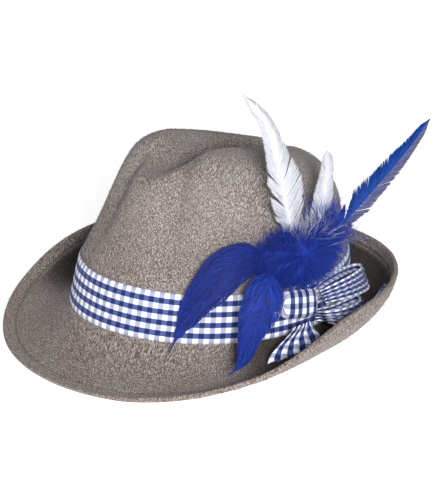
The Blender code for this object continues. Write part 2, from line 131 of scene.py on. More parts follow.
class LampRow(NamedTuple):
    """A soft lamp: its place and size in metres, and its power in watts."""

    name: str
    place: tuple[float, float, float]
    size: float
    power: float


BRIM_ROWS = (
    BrimRow(0, 0.98, -44, -8),
    BrimRow(30, 1.00, -42, 2),
    BrimRow(60, 1.00, -38, 40),
    BrimRow(90, 1.00, -26, 99),
    BrimRow(120, 0.85, -8, 86),
    BrimRow(150, 0.75, -1, 72),
    BrimRow(180, 0.70, 0, 66),
)
CROWN_ROWS = (
    CrownRow(0.00, 1.000, 1.000, 1.000, 0.00),
    CrownRow(0.10, 0.985, 0.975, 1.000, 0.00),
    CrownRow(0.32, 0.945, 0.915, 0.995, 0.05),
    CrownRow(0.50, 0.880, 0.810, 0.985, 0.35),
    CrownRow(0.70, 0.800, 0.710, 0.970, 0.75),
    CrownRow(0.86, 0.735, 0.640, 0.950, 1.00),
    CrownRow(1.00, 0.660, 0.575, 0.900, 1.00),
)
TOP_ROWS = (
    TopRow(0.00, 1.000, 0.145, 0.60),
    TopRow(0.12, 0.990, 0.170, 0.36),
    TopRow(0.30, 0.955, 0.180, 0.32),
    TopRow(0.50, 0.890, 0.150, 0.28),
    TopRow(0.75, 0.815, 0.080, 0.18),
    TopRow(1.00, 0.765, 0.000, 0.10),
)
UPPER_LOOP = (
    LoopRow(94, 0.59, 0.12, 0.26),
    LoopRow(102, 0.60, 0.08, 0.40),
    LoopRow(113, 0.57, 0.09, 0.46),
    LoopRow(124, 0.50, 0.16, 0.44),
    LoopRow(127, 0.48, 0.30, 0.42),
    LoopRow(120, 0.52, 0.42, 0.44),
    LoopRow(107, 0.59, 0.42, 0.38),
    LoopRow(95, 0.58, 0.27, 0.26),
)
LOWER_LOOP = (
    LoopRow(94, 0.25, 0.16, 0.22),
    LoopRow(102, 0.16, 0.22, 0.33),
    LoopRow(110, 0.13, 0.30, 0.40),
    LoopRow(115, 0.13, 0.44, 0.42),
    LoopRow(110, 0.12, 0.58, 0.40),
    LoopRow(101, 0.15, 0.54, 0.35),
    LoopRow(94, 0.23, 0.36, 0.22),
)
FRONT_TAIL = (
    TailRow(0.13, 80.0, 88.5, 0.34),
    TailRow(0.21, 77.0, 89.0, 0.29),
    TailRow(0.29, 73.5, 89.0, 0.22),
    TailRow(0.38, 70.5, 88.5, 0.14),
    TailRow(0.46, 68.5, 87.5, 0.01),
)
BACK_TAIL = (
    TailRow(0.50, 115.0, 122.0, 0.02),
    TailRow(0.58, 115.0, 123.5, 0.04),
    TailRow(0.66, 115.0, 124.0, 0.05),
    TailRow(0.74, 116.0, 124.0, 0.04),
)
LEFT_HACKLE = (
    HackleRow(68, 1.42, 0.18, 0.50),
    HackleRow(61, 1.40, 0.26, 0.95),
    HackleRow(54, 1.25, 0.28, 1.15),
    HackleRow(49, 1.00, 0.24, 1.10),
    HackleRow(44, 0.70, 0.20, 0.80),
    HackleRow(40, 0.34, 0.18, 0.48),
    HackleRow(37, 0.02, 0.20, 0.14),
)
DOWN_HACKLE = (
    HackleRow(70, 1.10, 0.36, 0.85),
    HackleRow(68, 0.92, 0.44, 1.10),
    HackleRow(66, 0.70, 0.46, 1.12),
    HackleRow(64, 0.46, 0.46, 0.98),
    HackleRow(62, 0.20, 0.52, 0.66),
    HackleRow(59, 0.00, 0.74, 0.42),
    HackleRow(54, -0.08, 1.12, 0.12),
)
TALL_QUILL = (
    QuillRow(0.00, 0.00, 0.00, 0.00, 0.40),
    QuillRow(0.12, -0.02, 0.12, -0.01, 0.80),
    QuillRow(0.30, -0.06, 0.29, -0.02, 1.02),
    QuillRow(0.55, -0.12, 0.53, -0.02, 0.72),
    QuillRow(0.78, -0.20, 0.75, -0.03, 0.40),
    QuillRow(0.92, -0.295, 0.88, -0.05, 0.22),
    QuillRow(1.00, -0.36, 0.95, -0.06, 0.08),
)
SHORT_QUILL = (
    QuillRow(0.00, 0.00, 0.00, 0.00, 0.40),
    QuillRow(0.35, 0.10, 0.33, 0.00, 0.75),
    QuillRow(0.75, 0.22, 0.71, -0.03, 0.48),
    QuillRow(1.00, 0.25, 0.95, -0.06, 0.05),
)
LONG_QUILL = (
    QuillRow(0.00, 0.00, 0.00, 0.00, 0.40),
    QuillRow(0.25, 0.20, 0.14, 0.01, 1.00),
    QuillRow(0.55, 0.45, 0.300, 0.02, 0.82),
    QuillRow(0.80, 0.66, 0.43, 0.02, 0.40),
    QuillRow(1.00, 0.83, 0.545, 0.01, 0.10),
)
TUFT_QUILL = (
    QuillRow(0.00, 0.00, 0.00, 0.00, 0.45),
    QuillRow(0.45, 0.06, 0.44, 0.00, 0.85),
    QuillRow(1.00, 0.20, 0.96, 0.00, 0.12),
)
LAMPS = (
    LampRow("key", (1.25, -0.75, 0.64), 0.45, 22.0),
    LampRow("fill", (0.3, -1.4, 0.45), 0.9, 2.2),
    LampRow("top", (-0.6, -0.3, 1.3), 1.0, 2.2),
    LampRow("back", (-0.9, 1.1, 0.8), 0.9, 5.0),
)


def along(rows: Sequence, key: str, name: str, where: float) -> float:
    """Reads one column of a table smoothly at a place, level at both ends of the table.

    Args:
        rows: The table, in the order of its key.
        key: The column that gives each row's place.
        name: The column to read.
        where: The place to read it at.

    Returns:
        The column's value there.
    """
    places = [getattr(row, key) for row in rows]
    values = [getattr(row, name) for row in rows]
    where = min(max(where, places[0]), places[-1])
    last = len(rows) - 1
    slopes = [0.0] * len(rows)
    for index in range(1, last):
        step = places[index + 1] - places[index - 1]
        slopes[index] = (values[index + 1] - values[index - 1]) / step
    index = max(i for i in range(last) if places[i] <= where)
    step = places[index + 1] - places[index]
    share = (where - places[index]) / step
    rest = 1 - share
    first = values[index] * (1 + 2 * share) * rest**2
    second = values[index + 1] * (1 + 2 * rest) * share**2
    bend = step * share * rest * (slopes[index] * rest - slopes[index + 1] * share)
    return first + second + bend


def smooth(value: float) -> float:
    """A soft step from 0 to 1."""
    value = min(max(value, 0.0), 1.0)
    return value * value * (3 - 2 * value)


def from_front(turn: float) -> float:
    """The turn as an angle from the front, the same on both sides."""
    return abs((turn + 180) % 360 - 180)


def on_curve(points: Sequence[Vector], where: float) -> Vector:
    """A point of the smooth curve through a row of points.

    Args:
        points: The points that the curve passes through.
        where: The place on it, from 0 at the first point to 1 at the last.

    Returns:
        The point of the curve there.
    """
    last = len(points) - 1
    place = min(max(where, 0.0), 1.0) * last
    index = min(int(place), last - 1)
    share = place - index
    before = points[max(index - 1, 0)]
    start = points[index]
    end = points[index + 1]
    after = points[min(index + 2, last)]
    square = share * share
    cube = square * share
    return 0.5 * (
        2 * start
        + (end - before) * share
        + (2 * before - 5 * start + 4 * end - after) * square
        + (3 * start - before - 3 * end + after) * cube
    )


def on_values(values: Sequence[float], where: float) -> float:
    """A number read along a row of numbers, from 0 at the first to 1 at the last."""
    return on_curve([Vector((value, 0, 0)) for value in values], where).x


# The hat's form


@dataclass(frozen=True)
class HatForm:
    """The hat's sizes in metres, and the surfaces that every piece is laid on."""

    head_length: float = 0.203
    head_width: float = 0.171
    crown_height: float = 0.117
    brim_wide: float = 0.050
    felt: float = 0.002
    root_tip: float = 0.0033
    root_saddle: float = 0.0016
    brim_curl: float = 1.3
    pinch_depth: float = 0.009
    pinch_turn: float = 26.0
    pinch_spread: float = 11.0
    shoulder_fall: float = 0.105
    notch_keep: float = 0.20
    seat_sink: float = 0.0008
    hem_width: float = 0.0075
    ribbon_wide: float = 0.0305
    unit: float = 0.036
    gap: float = 0.0003
    segments: int = 24

    def oval(self, turn: float, out: float = 0.0) -> Vector:
        """A point of the head's oval, moved outwards in plan.

        Args:
            turn: The angle from the front.
            out: How far outwards.

        Returns:
            The point, at height 0.
        """
        angle = math.radians(turn)
        half_x = self.head_width / 2
        half_y = self.head_length / 2
        away = Vector((math.sin(angle) / half_x, -math.cos(angle) / half_y, 0)).normalized()
        return Vector((half_x * math.sin(angle), -half_y * math.cos(angle), 0)) + away * out

    def root_height(self, turn: float) -> float:
        """The height of the line where the brim leaves the crown."""
        angle = math.radians(turn)
        return self.root_tip * math.cos(angle) + self.root_saddle * math.cos(2 * angle)

    def brim_width(self, turn: float) -> float:
        """The width of the brim along the felt."""
        return self.brim_wide * along(BRIM_ROWS, "turn", "width", from_front(turn))

    def brim_point(self, turn: float, distance: float, lift: float = 0.0) -> Vector:
        """A point of the brim's upper side.

        Args:
            turn: The angle from the front.
            distance: The distance along the felt from the brim's root.
            lift: The height over the felt, at right angles to it.

        Returns:
            The point, in the frame of the head's oval.
        """
        width = self.brim_width(turn)
        root = math.radians(along(BRIM_ROWS, "turn", "root_slope", from_front(turn)))
        rim = math.radians(along(BRIM_ROWS, "turn", "rim_slope", from_front(turn)))
        step = distance / self.segments
        out = 0.0
        up = 0.0
        for index in range(self.segments):
            share = (index + 0.5) * step / width
            slope = root + (rim - root) * share**self.brim_curl
            out += math.cos(slope) * step
            up += math.sin(slope) * step
        slope = root + (rim - root) * (distance / width) ** self.brim_curl
        point = self.oval(turn, out - math.sin(slope) * lift)
        point.z = self.root_height(turn) + up + math.cos(slope) * lift
        return point

    def top_height(self, x: float, y: float, share: float) -> float:
        """The height of the crown's top above the root's plane.

        Args:
            x: The place across the hat.
            y: The place along the hat.
            share: How far out it is, from 0 in the middle to 1 at the shoulder.

        Returns:
            The height.
        """
        front = -CROWN_ROWS[-1].front * self.head_length / 2
        length = (CROWN_ROWS[-1].front + CROWN_ROWS[-1].back) * self.head_length / 2
        back = (y - front) / length
        crest = along(TOP_ROWS, "back", "crest", back)
        dent = along(TOP_ROWS, "back", "dent", back)
        ridge = along(TOP_ROWS, "back", "ridge", back) * self.head_width / 2
        notch = dent * (1 - smooth(abs(x) / ridge))
        fall = self.shoulder_fall * share**6 * (1 - notch / self.notch_keep)
        return self.crown_height * (crest - notch - fall)

    def ring_point(self, row: CrownRow, turn: float, share: float) -> Vector:
        """A point of one level of the crown in plan, with its pinches.

        Args:
            row: The level's reaches.
            turn: The angle from the front.
            share: How far out it is, 1 on the wall.

        Returns:
            The point, at height 0.
        """
        angle = math.radians(turn)
        centre = (row.back - row.front) * self.head_length / 4
        half_y = (row.back + row.front) * self.head_length / 4
        half_x = row.side * self.head_width / 2
        away = Vector((math.sin(angle) / half_x, -math.cos(angle) / half_y, 0)).normalized()
        near = (from_front(turn) - self.pinch_turn) / self.pinch_spread
        pinch = self.pinch_depth * row.pinch * math.exp(-near * near)
        pinch *= smooth((share - 0.55) / 0.45)
        reach = Vector((half_x * math.sin(angle), -half_y * math.cos(angle), 0))
        return Vector((0, centre, 0)) + reach * share - away * pinch

    def top_point(self, turn: float, share: float) -> Vector:
        """A point of the crown's top, from its middle, 0, to its shoulder, 1.

        Args:
            turn: The angle from the front.
            share: How far out it is.

        Returns:
            The point, in the frame of the head's oval.
        """
        point = self.ring_point(CROWN_ROWS[-1], turn, share)
        point.z = self.top_height(point.x, point.y, share)
        return point

    def wall_point(self, turn: float, rise: float) -> Vector:
        """A point of the crown's wall, from its root, 0, to its shoulder, 1.

        Args:
            turn: The angle from the front.
            rise: How far up the wall it is.

        Returns:
            The point, in the frame of the head's oval.
        """
        columns = ("side", "front", "back", "pinch")
        row = CrownRow(rise, *(along(CROWN_ROWS, "rise", name, rise) for name in columns))
        point = self.ring_point(row, turn, 1.0)
        root = self.root_height(turn)
        point.z = root + rise * (self.top_point(turn, 1.0).z - root)
        return point

    def beside(self, turn: float, up: float, out: float) -> Vector:
        """A point beside the crown's wall.

        Args:
            turn: The angle from the front.
            up: The height over the brim's root.
            out: The distance off the felt.

        Returns:
            The point, in the frame of the head's oval.
        """
        height = self.top_point(turn, 1.0).z - self.root_height(turn)
        rise = max(up / height, 0.0)
        step = 0.01
        here = self.wall_point(turn, rise)
        across = self.wall_point(turn + 1, rise) - self.wall_point(turn - 1, rise)
        upwards = self.wall_point(turn, rise + step) - self.wall_point(turn, max(rise - step, 0))
        below = Vector((0, 0, min(up, 0.0)))
        return here + across.cross(upwards).normalized() * out + below

    def over_brim(self, point: Vector, turn: float, clear: float) -> Vector:
        """The point kept at a clear height over the brim, as where ribbon rests on the felt.

        Args:
            point: The point.
            turn: The angle from the front.
            clear: The least height over the felt.

        Returns:
            The point, lifted where it must be.
        """
        away = point - self.oval(turn)
        brim = self.brim_point(turn, math.hypot(away.x, away.y))
        return Vector((point.x, point.y, max(point.z, brim.z + clear)))

    @cached_property
    def seat(self) -> Matrix:
        """The move that lets the front edge and the back of the brim touch the table together.

        Returns:
            The move, from the frame of the head's oval to the table's.
        """
        under = []
        for turn in range(0, 360, 6):
            width = self.brim_width(turn)
            inner = width - self.hem_width
            for distance in (width, width - self.hem_width / 2, *(inner * k / 9 for k in range(10))):
                under.append(self.brim_point(turn, distance, -self.felt))
        tip = 0.0
        lowest = 0.0
        for _ in range(6):
            points = [Matrix.Rotation(-tip, 3, "X") @ point for point in under]
            front = min((p for p in points if p.y < 0), key=lambda p: p.z)
            back = min((p for p in points if p.y > 0), key=lambda p: p.z)
            tip += math.atan2(back.z - front.z, back.y - front.y)
            lowest = min(front.z, back.z)
        down = Matrix.Translation((0, 0, -lowest - self.seat_sink))
        return down @ Matrix.Rotation(-tip, 4, "X")

    def pressed(self, point: Vector, least: float) -> Vector:
        """The seated point kept at a least height over the table, as where felt is pressed flat.

        Args:
            point: The point, not yet seated.
            least: The least height.

        Returns:
            The seated point.
        """
        seated = self.seat @ point
        seated.z = max(seated.z, least)
        return seated


# Meshes


def normals_of(grid: Grid, wrap: bool) -> Grid:
    """The normal at each point of a grid, from its neighbours.

    Args:
        grid: Rows of points.
        wrap: Whether the last column meets the first.

    Returns:
        A grid of unit normals.
    """
    rows = len(grid)
    columns = len(grid[0])
    found = []
    for i in range(rows):
        line = []
        for j in range(columns):
            before = (j - 1) % columns if wrap else max(j - 1, 0)
            after = (j + 1) % columns if wrap else min(j + 1, columns - 1)
            down = grid[min(i + 1, rows - 1)][j] - grid[max(i - 1, 0)][j]
            side = grid[i][after] - grid[i][before]
            line.append(side.cross(down).normalized())
        found.append(line)
    return found


def stand(name: str, data: bpy.types.ID) -> Piece:
    """Puts a mesh, a light or a camera in the scene as an object.

    Args:
        name: The object's name.
        data: What it shows.

    Returns:
        The object, at the origin.
    """
    made = bpy.data.objects.new(name, data)
    bpy.context.collection.objects.link(made)
    return made


def mark(mesh: bpy.types.Mesh, name: str, values: Sequence[float], kind: str = "FLOAT") -> None:
    """Writes a named attribute on the points of a mesh.

    Args:
        mesh: The mesh.
        name: The attribute's name.
        values: One number for each point, or three for a vector.
        kind: The attribute's type.
    """
    column = "value" if kind == "FLOAT" else "vector"
    mesh.attributes.new(name, kind, "POINT").data.foreach_set(column, values)


@dataclass
class Shell:
    """Points, faces and a flat map, gathered before they become a piece."""

    points: list[Vector] = field(default_factory=list)
    faces: list[tuple[int, ...]] = field(default_factory=list)
    flat: list[tuple[float, float]] = field(default_factory=list)

    def add_face(self, corners: Sequence[int], flat: Sequence[tuple[float, float]]) -> None:
        """Adds one face with the flat map of its corners."""
        self.faces.append(tuple(corners))
        self.flat.extend(flat)

    def add_sheet(self, front: Grid, back: Grid, flat: Flat, wrap: bool = False) -> None:
        """Adds a closed body between two grids of the same size.

        Args:
            front: The outer grid.
            back: The inner grid.
            flat: The flat map at each point, with one more column where the grid wraps.
            wrap: Whether the last column meets the first.
        """
        rows = len(front)
        columns = len(front[0])
        start = len(self.points)
        self.points.extend(point for grid in (front, back) for line in grid for point in line)
        offset = start + rows * columns
        last = columns if wrap else columns - 1
        for i in range(rows - 1):
            for j in range(last):
                k = (j + 1) % columns
                quad = [i * columns + j, i * columns + k, (i + 1) * columns + k, (i + 1) * columns + j]
                uv = [flat[i][j], flat[i][j + 1], flat[i + 1][j + 1], flat[i + 1][j]]
                self.add_face([start + corner for corner in quad], uv)
                self.add_face([offset + corner for corner in reversed(quad)], uv[::-1])
        for i in (0, rows - 1):
            for j in range(last):
                a = i * columns + j
                b = i * columns + (j + 1) % columns
                edge = [start + b, start + a, offset + a, offset + b]
                uv = [flat[i][j + 1], flat[i][j], flat[i][j], flat[i][j + 1]]
                self.add_face(edge if i == 0 else edge[::-1], uv if i == 0 else uv[::-1])
        if not wrap:
            for i in range(rows - 1):
                for j in (0, columns - 1):
                    a = i * columns + j
                    b = a + columns
                    side = [start + a, start + b, offset + b, offset + a]
                    uv = [flat[i][j], flat[i + 1][j], flat[i + 1][j], flat[i][j]]
                    self.add_face(side if j == 0 else side[::-1], uv if j == 0 else uv[::-1])

    def add_loft(self, rings: Sequence[Sequence[Vector]], flat: Optional[Flat] = None) -> None:
        """Adds a closed body through a row of rings, with both ends drawn to a point.

        Args:
            rings: The rings, each with as many points.
            flat: The flat map at each point, with one more column than the rings.
        """
        count = len(rings[0])
        start = len(self.points)
        self.points.extend(point for ring in rings for point in ring)
        if flat is None:
            flat = [[(j / count, float(i)) for j in range(count + 1)] for i in range(len(rings))]
        for i in range(len(rings) - 1):
            for j in range(count):
                k = (j + 1) % count
                a = start + i * count
                b = a + count
                uv = [flat[i][j], flat[i][j + 1], flat[i + 1][j + 1], flat[i + 1][j]]
                self.add_face([a + j, a + k, b + k, b + j], uv)
        for i in (0, len(rings) - 1):
            tip = len(self.points)
            self.points.append(sum(rings[i], Vector()) / count)
            for j in range(count):
                a = start + i * count + j
                b = start + i * count + (j + 1) % count
                uv = [flat[i][j], flat[i][j + 1], flat[i][j]]
                self.add_face([a, b, tip], uv)

    def piece(self, name: str, finish: Material, tint: Optional[float] = None) -> Piece:
        """Makes the piece, facing outwards.

        Args:
            name: The piece's name.
            finish: Its material.
            tint: Its shade, for a finish that reads one.

        Returns:
            The object, at the origin.
        """
        mesh = bpy.data.meshes.new(name)
        mesh.from_pydata(self.points, [], self.faces)
        layer = mesh.uv_layers.new(name="flat")
        layer.data.foreach_set("uv", [number for pair in self.flat for number in pair])
        body = bmesh.new()
        body.from_mesh(mesh)
        bmesh.ops.recalc_face_normals(body, faces=body.faces)
        for face in body.faces:
            face.smooth = True
        body.to_mesh(mesh)
        body.free()
        mesh.materials.append(finish)
        if tint is not None:
            mark(mesh, "tint", [tint] * len(mesh.vertices))
        return stand(name, mesh)


@dataclass
class Strand:
    """One barb or hair: its path, its width, the way its flat side faces, and its shade."""

    path: list[Vector]
    width: float
    facing: Vector
    tint: float
    taper: float = 0.8


# Trees of nodes


def set_inputs(node: Node, **values: object) -> None:
    """Sets plain values on a node's inputs, with underscores for the spaces in their names."""
    for label, value in values.items():
        node.inputs[label.replace("_", " ")].default_value = value


class NodePage:
    """A tree of nodes, written one node at a time."""

    def __init__(self, tree: bpy.types.NodeTree) -> None:
        """Takes the tree to write on."""
        self.tree = tree

    def node(self, kind: str, **settings: object) -> Node:
        """Adds a node.

        Args:
            kind: The node's type.
            settings: Its settings, by their names.

        Returns:
            The node.
        """
        made = self.tree.nodes.new(kind)
        for label, value in settings.items():
            setattr(made, label, value)
        return made

    def feed(self, source: object, target: Socket) -> None:
        """Links an output to an input, or sets the input to a plain value.

        Args:
            source: The output or the value.
            target: The input.
        """
        if isinstance(source, Socket):
            self.tree.links.new(source, target)
        else:
            target.default_value = source


class Tree(NodePage):
    """A tree of geometry nodes with named inputs, put on an object and turned into a mesh."""

    def __init__(self, name: str, sizes: dict[str, float], whole: Sequence[str] = ()) -> None:
        """Opens the tree.

        Args:
            name: The tree's name.
            sizes: Its named inputs with their usual values.
            whole: The inputs that are whole numbers.
        """
        super().__init__(bpy.data.node_groups.new(name, "GeometryNodeTree"))
        self.sockets: dict[str, str] = {}
        face = self.tree.interface
        face.new_socket("Geometry", in_out="INPUT", socket_type="NodeSocketGeometry")
        for label, value in sizes.items():
            kind = "NodeSocketInt" if label in whole else "NodeSocketFloat"
            socket = face.new_socket(label, in_out="INPUT", socket_type=kind)
            socket.default_value = int(value) if label in whole else value
            self.sockets[label] = socket.identifier
        finish = face.new_socket("Finish", in_out="INPUT", socket_type="NodeSocketMaterial")
        self.sockets["Finish"] = finish.identifier
        face.new_socket("Geometry", in_out="OUTPUT", socket_type="NodeSocketGeometry")
        self.start = self.node("NodeGroupInput")

    def size(self, label: str) -> Socket:
        """The output that carries a named input."""
        return self.start.outputs[label]

    def attribute(self, name: str, kind: str) -> Socket:
        """The output of a named attribute of the mesh.

        Args:
            name: The attribute's name.
            kind: Its type.

        Returns:
            The output.
        """
        made = self.node("GeometryNodeInputNamedAttribute", data_type=kind)
        set_inputs(made, Name=name)
        return made.outputs["Attribute"]

    def close(self, result: Socket) -> None:
        """Ends the tree in plain geometry with the finish on it.

        Args:
            result: The output that carries what was made.
        """
        plain = self.node("GeometryNodeRealizeInstances")
        dressed = self.node("GeometryNodeSetMaterial")
        end = self.node("NodeGroupOutput")
        self.feed(result, plain.inputs["Geometry"])
        self.feed(plain.outputs["Geometry"], dressed.inputs["Geometry"])
        self.feed(self.size("Finish"), dressed.inputs["Material"])
        self.feed(dressed.outputs["Geometry"], end.inputs["Geometry"])

    def apply(self, piece: Piece, finish: Material, **sizes: float) -> None:
        """Runs the tree on a piece and keeps the result as its plain mesh.

        Args:
            piece: The object that carries the points, edges or faces to work from.
            finish: The material of what grows.
            sizes: Values for named inputs, with underscores for spaces.
        """
        live = piece.modifiers.new(self.tree.name, "NODES")
        live.node_group = self.tree
        live[self.sockets["Finish"]] = finish
        for label, value in sizes.items():
            live[self.sockets[label.replace("_", " ")]] = value
        ready = piece.evaluated_get(bpy.context.evaluated_depsgraph_get())
        mesh = bpy.data.meshes.new_from_object(ready)
        piece.modifiers.clear()
        old = piece.data
        piece.data = mesh
        bpy.data.meshes.remove(old)
        mesh.name = piece.name
        mesh.polygons.foreach_set("use_smooth", [True] * len(mesh.polygons))


class StrandTree(Tree):
    """Turns edges into thin closed barbs, as wide as each point says and facing as it says."""

    def __init__(self) -> None:
        """Builds the tree."""
        super().__init__("strands", {"Thinness": 0.25, "Sides": 3}, ("Sides",))
        curve = self.node("GeometryNodeMeshToCurve")
        turned = self.node("GeometryNodeSetCurveNormal", mode="FREE")
        outline = self.node("GeometryNodeCurvePrimitiveCircle")
        set_inputs(outline, Radius=0.5)
        thin = self.node("ShaderNodeCombineXYZ")
        set_inputs(thin, Y=1.0, Z=1.0)
        pressed = self.node("GeometryNodeTransform")
        body = self.node("GeometryNodeCurveToMesh")
        set_inputs(body, Fill_Caps=True)
        self.feed(self.size("Geometry"), curve.inputs["Mesh"])
        self.feed(curve.outputs["Curve"], turned.inputs["Curve"])
        self.feed(self.attribute("facing", "FLOAT_VECTOR"), turned.inputs["Normal"])
        self.feed(turned.outputs["Curve"], body.inputs["Curve"])
        self.feed(self.size("Sides"), outline.inputs["Resolution"])
        self.feed(outline.outputs["Curve"], pressed.inputs["Geometry"])
        self.feed(self.size("Thinness"), thin.inputs["X"])
        self.feed(thin.outputs["Vector"], pressed.inputs["Scale"])
        self.feed(pressed.outputs["Geometry"], body.inputs["Profile Curve"])
        self.feed(self.attribute("thick", "FLOAT"), body.inputs["Scale"])
        self.close(body.outputs["Mesh"])

    def grow(
        self,
        name: str,
        strands: Sequence[Strand],
        finish: Material,
        thinness: float,
        sides: int = 3,
    ) -> Piece:
        """Makes one piece of many strands.

        Args:
            name: The piece's name.
            strands: The strands.
            finish: Their material.
            thinness: A strand's depth as a share of its width.
            sides: The sides of a strand's section.

        Returns:
            The piece, a plain mesh.
        """
        points: list[Vector] = []
        edges: list[tuple[int, int]] = []
        thick: list[float] = []
        tints: list[float] = []
        facing: list[float] = []
        for strand in strands:
            first = len(points)
            count = len(strand.path)
            points.extend(strand.path)
            edges.extend((first + i, first + i + 1) for i in range(count - 1))
            for i in range(count):
                share = i / (count - 1)
                thick.append(strand.width * max(1 - share ** (1 / max(1 - strand.taper, 0.05)), 0.12))
                tints.append(strand.tint)
                facing.extend(strand.facing)
        mesh = bpy.data.meshes.new(name)
        mesh.from_pydata(points, edges, [])
        mark(mesh, "thick", thick)
        mark(mesh, "tint", tints)
        mark(mesh, "facing", facing, "FLOAT_VECTOR")
        piece = stand(name, mesh)
        self.apply(piece, finish, Thinness=thinness, Sides=sides)
        return piece


class StitchTree(Tree):
    """Lays a small rounded stitch on each point, along the seam and flat on the felt."""

    def __init__(self) -> None:
        """Builds the tree."""
        super().__init__("stitches", {"Length": 0.0024, "Thickness": 0.0006})
        bead = self.node("GeometryNodeMeshUVSphere")
        set_inputs(bead, Segments=6, Rings=5, Radius=0.5)
        shape = self.node("ShaderNodeCombineXYZ")
        drawn = self.node("GeometryNodeTransform")
        first = self.node("FunctionNodeAlignRotationToVector", axis="Z")
        second = self.node("FunctionNodeAlignRotationToVector", axis="X", pivot_axis="Z")
        laid = self.node("GeometryNodeInstanceOnPoints")
        self.feed(self.size("Thickness"), shape.inputs["X"])
        self.feed(self.size("Thickness"), shape.inputs["Y"])
        self.feed(self.size("Length"), shape.inputs["Z"])
        self.feed(shape.outputs["Vector"], drawn.inputs["Scale"])
        self.feed(bead.outputs["Mesh"], drawn.inputs["Geometry"])
        self.feed(self.attribute("along", "FLOAT_VECTOR"), first.inputs["Vector"])
        self.feed(first.outputs["Rotation"], second.inputs["Rotation"])
        self.feed(self.attribute("out", "FLOAT_VECTOR"), second.inputs["Vector"])
        self.feed(self.size("Geometry"), laid.inputs["Points"])
        self.feed(drawn.outputs["Geometry"], laid.inputs["Instance"])
        self.feed(second.outputs["Rotation"], laid.inputs["Rotation"])
        self.close(laid.outputs["Instances"])


class NapTree(Tree):
    """Scatters short loose fibres over the felt, as its soft surface shows at the outline."""

    def __init__(self) -> None:
        """Builds the tree."""
        sizes = {"Density": 100000.0, "Length": 0.0016, "Width": 0.00016, "Seed": 5}
        super().__init__("nap", sizes, ("Seed",))
        amount = self.node("ShaderNodeMath", operation="MULTIPLY")
        spread = self.node("GeometryNodeDistributePointsOnFaces", distribute_method="RANDOM")
        fibre = self.node("GeometryNodeMeshCone")
        set_inputs(fibre, Vertices=3, Side_Segments=1, Fill_Segments=1, Radius_Top=0.0)
        lean = self.node("FunctionNodeRandomValue", data_type="FLOAT_VECTOR")
        set_inputs(lean, Min=(-1.25, -1.25, -3.1), Max=(1.25, 1.25, 3.1))
        angles = self.node("FunctionNodeEulerToRotation")
        tipped = self.node("FunctionNodeRotateRotation", rotation_space="LOCAL")
        scale = self.node("FunctionNodeRandomValue", data_type="FLOAT")
        scale.inputs[2].default_value = 0.45
        scale.inputs[3].default_value = 1.2
        placed = self.node("GeometryNodeInstanceOnPoints")
        self.feed(self.size("Geometry"), spread.inputs["Mesh"])
        self.feed(self.size("Seed"), spread.inputs["Seed"])
        self.feed(self.size("Seed"), lean.inputs["Seed"])
        self.feed(self.size("Seed"), scale.inputs["Seed"])
        self.feed(self.size("Density"), amount.inputs[0])
        self.feed(self.attribute("nap", "FLOAT"), amount.inputs[1])
        self.feed(amount.outputs["Value"], spread.inputs["Density"])
        self.feed(self.size("Width"), fibre.inputs["Radius Bottom"])
        self.feed(self.size("Length"), fibre.inputs["Depth"])
        self.feed(lean.outputs["Value"], angles.inputs["Euler"])
        self.feed(spread.outputs["Rotation"], tipped.inputs["Rotation"])
        self.feed(angles.outputs["Rotation"], tipped.inputs["Rotate By"])
        self.feed(spread.outputs["Points"], placed.inputs["Points"])
        self.feed(fibre.outputs["Mesh"], placed.inputs["Instance"])
        self.feed(tipped.outputs["Rotation"], placed.inputs["Rotation"])
        self.feed(scale.outputs[1], placed.inputs["Scale"])
        self.close(placed.outputs["Instances"])


# Finishes


class ShaderPage(NodePage):
    """The nodes of one material or shader group, with sums, mixes and noise in one row each."""

    def math(
        self,
        operation: str,
        first: object,
        second: object = None,
        third: object = None,
        clamp: bool = False,
    ) -> Socket:
        """The result of one sum on plain values or outputs.

        Args:
            operation: The sum, such as ADD.
            first: The first value or output.
            second: The second one, where the sum has one.
            third: The third one, where the sum has one.
            clamp: Whether the result is kept from 0 to 1.

        Returns:
            The result.
        """
        made = self.node("ShaderNodeMath", operation=operation, use_clamp=clamp)
        for value, target in zip((first, second, third), made.inputs):
            if value is not None:
                self.feed(value, target)
        return made.outputs[0]

    def mix(self, share: object, first: object, second: object, blend: str = "MIX") -> Socket:
        """Two colours mixed by a share.

        Args:
            share: The share of the second colour.
            first: The first colour or output.
            second: The second one.
            blend: How they are mixed.

        Returns:
            The mixed colour.
        """
        made = self.node("ShaderNodeMix", data_type="RGBA", blend_type=blend)
        self.feed(share, made.inputs[0])
        self.feed(first, made.inputs[6])
        self.feed(second, made.inputs[7])
        return made.outputs[2]

    def ramp(self, value: object, low: float, high: float) -> Socket:
        """A value drawn out softly from 0 at a low limit to 1 at a high one.

        Args:
            value: The value.
            low: Where the result is 0.
            high: Where it is 1.

        Returns:
            The result.
        """
        made = self.node("ShaderNodeMapRange", interpolation_type="SMOOTHSTEP")
        self.feed(value, made.inputs["Value"])
        set_inputs(made, From_Min=low, From_Max=high)
        return made.outputs["Result"]

    def grain(self, vector: object, scale: float, detail: float = 2.0) -> Socket:
        """Plain noise at a scale, in turns a metre.

        Args:
            vector: The place.
            scale: The scale.
            detail: How many finer layers it has.

        Returns:
            The noise.
        """
        made = self.node("ShaderNodeTexNoise")
        self.feed(vector, made.inputs["Vector"])
        set_inputs(made, Scale=scale, Detail=detail)
        return made.outputs["Fac"]

    def group(self, tree: bpy.types.NodeTree, **values: object) -> Node:
        """Places a shader group with its own values, with underscores for spaces.

        Args:
            tree: The group.
            values: Its inputs' values or outputs.

        Returns:
            The node.
        """
        made = self.node("ShaderNodeGroup", node_tree=tree)
        for label, value in values.items():
            self.feed(value, made.inputs[label.replace("_", " ")])
        return made


GREY = (0.5, 0.5, 0.5, 1.0)


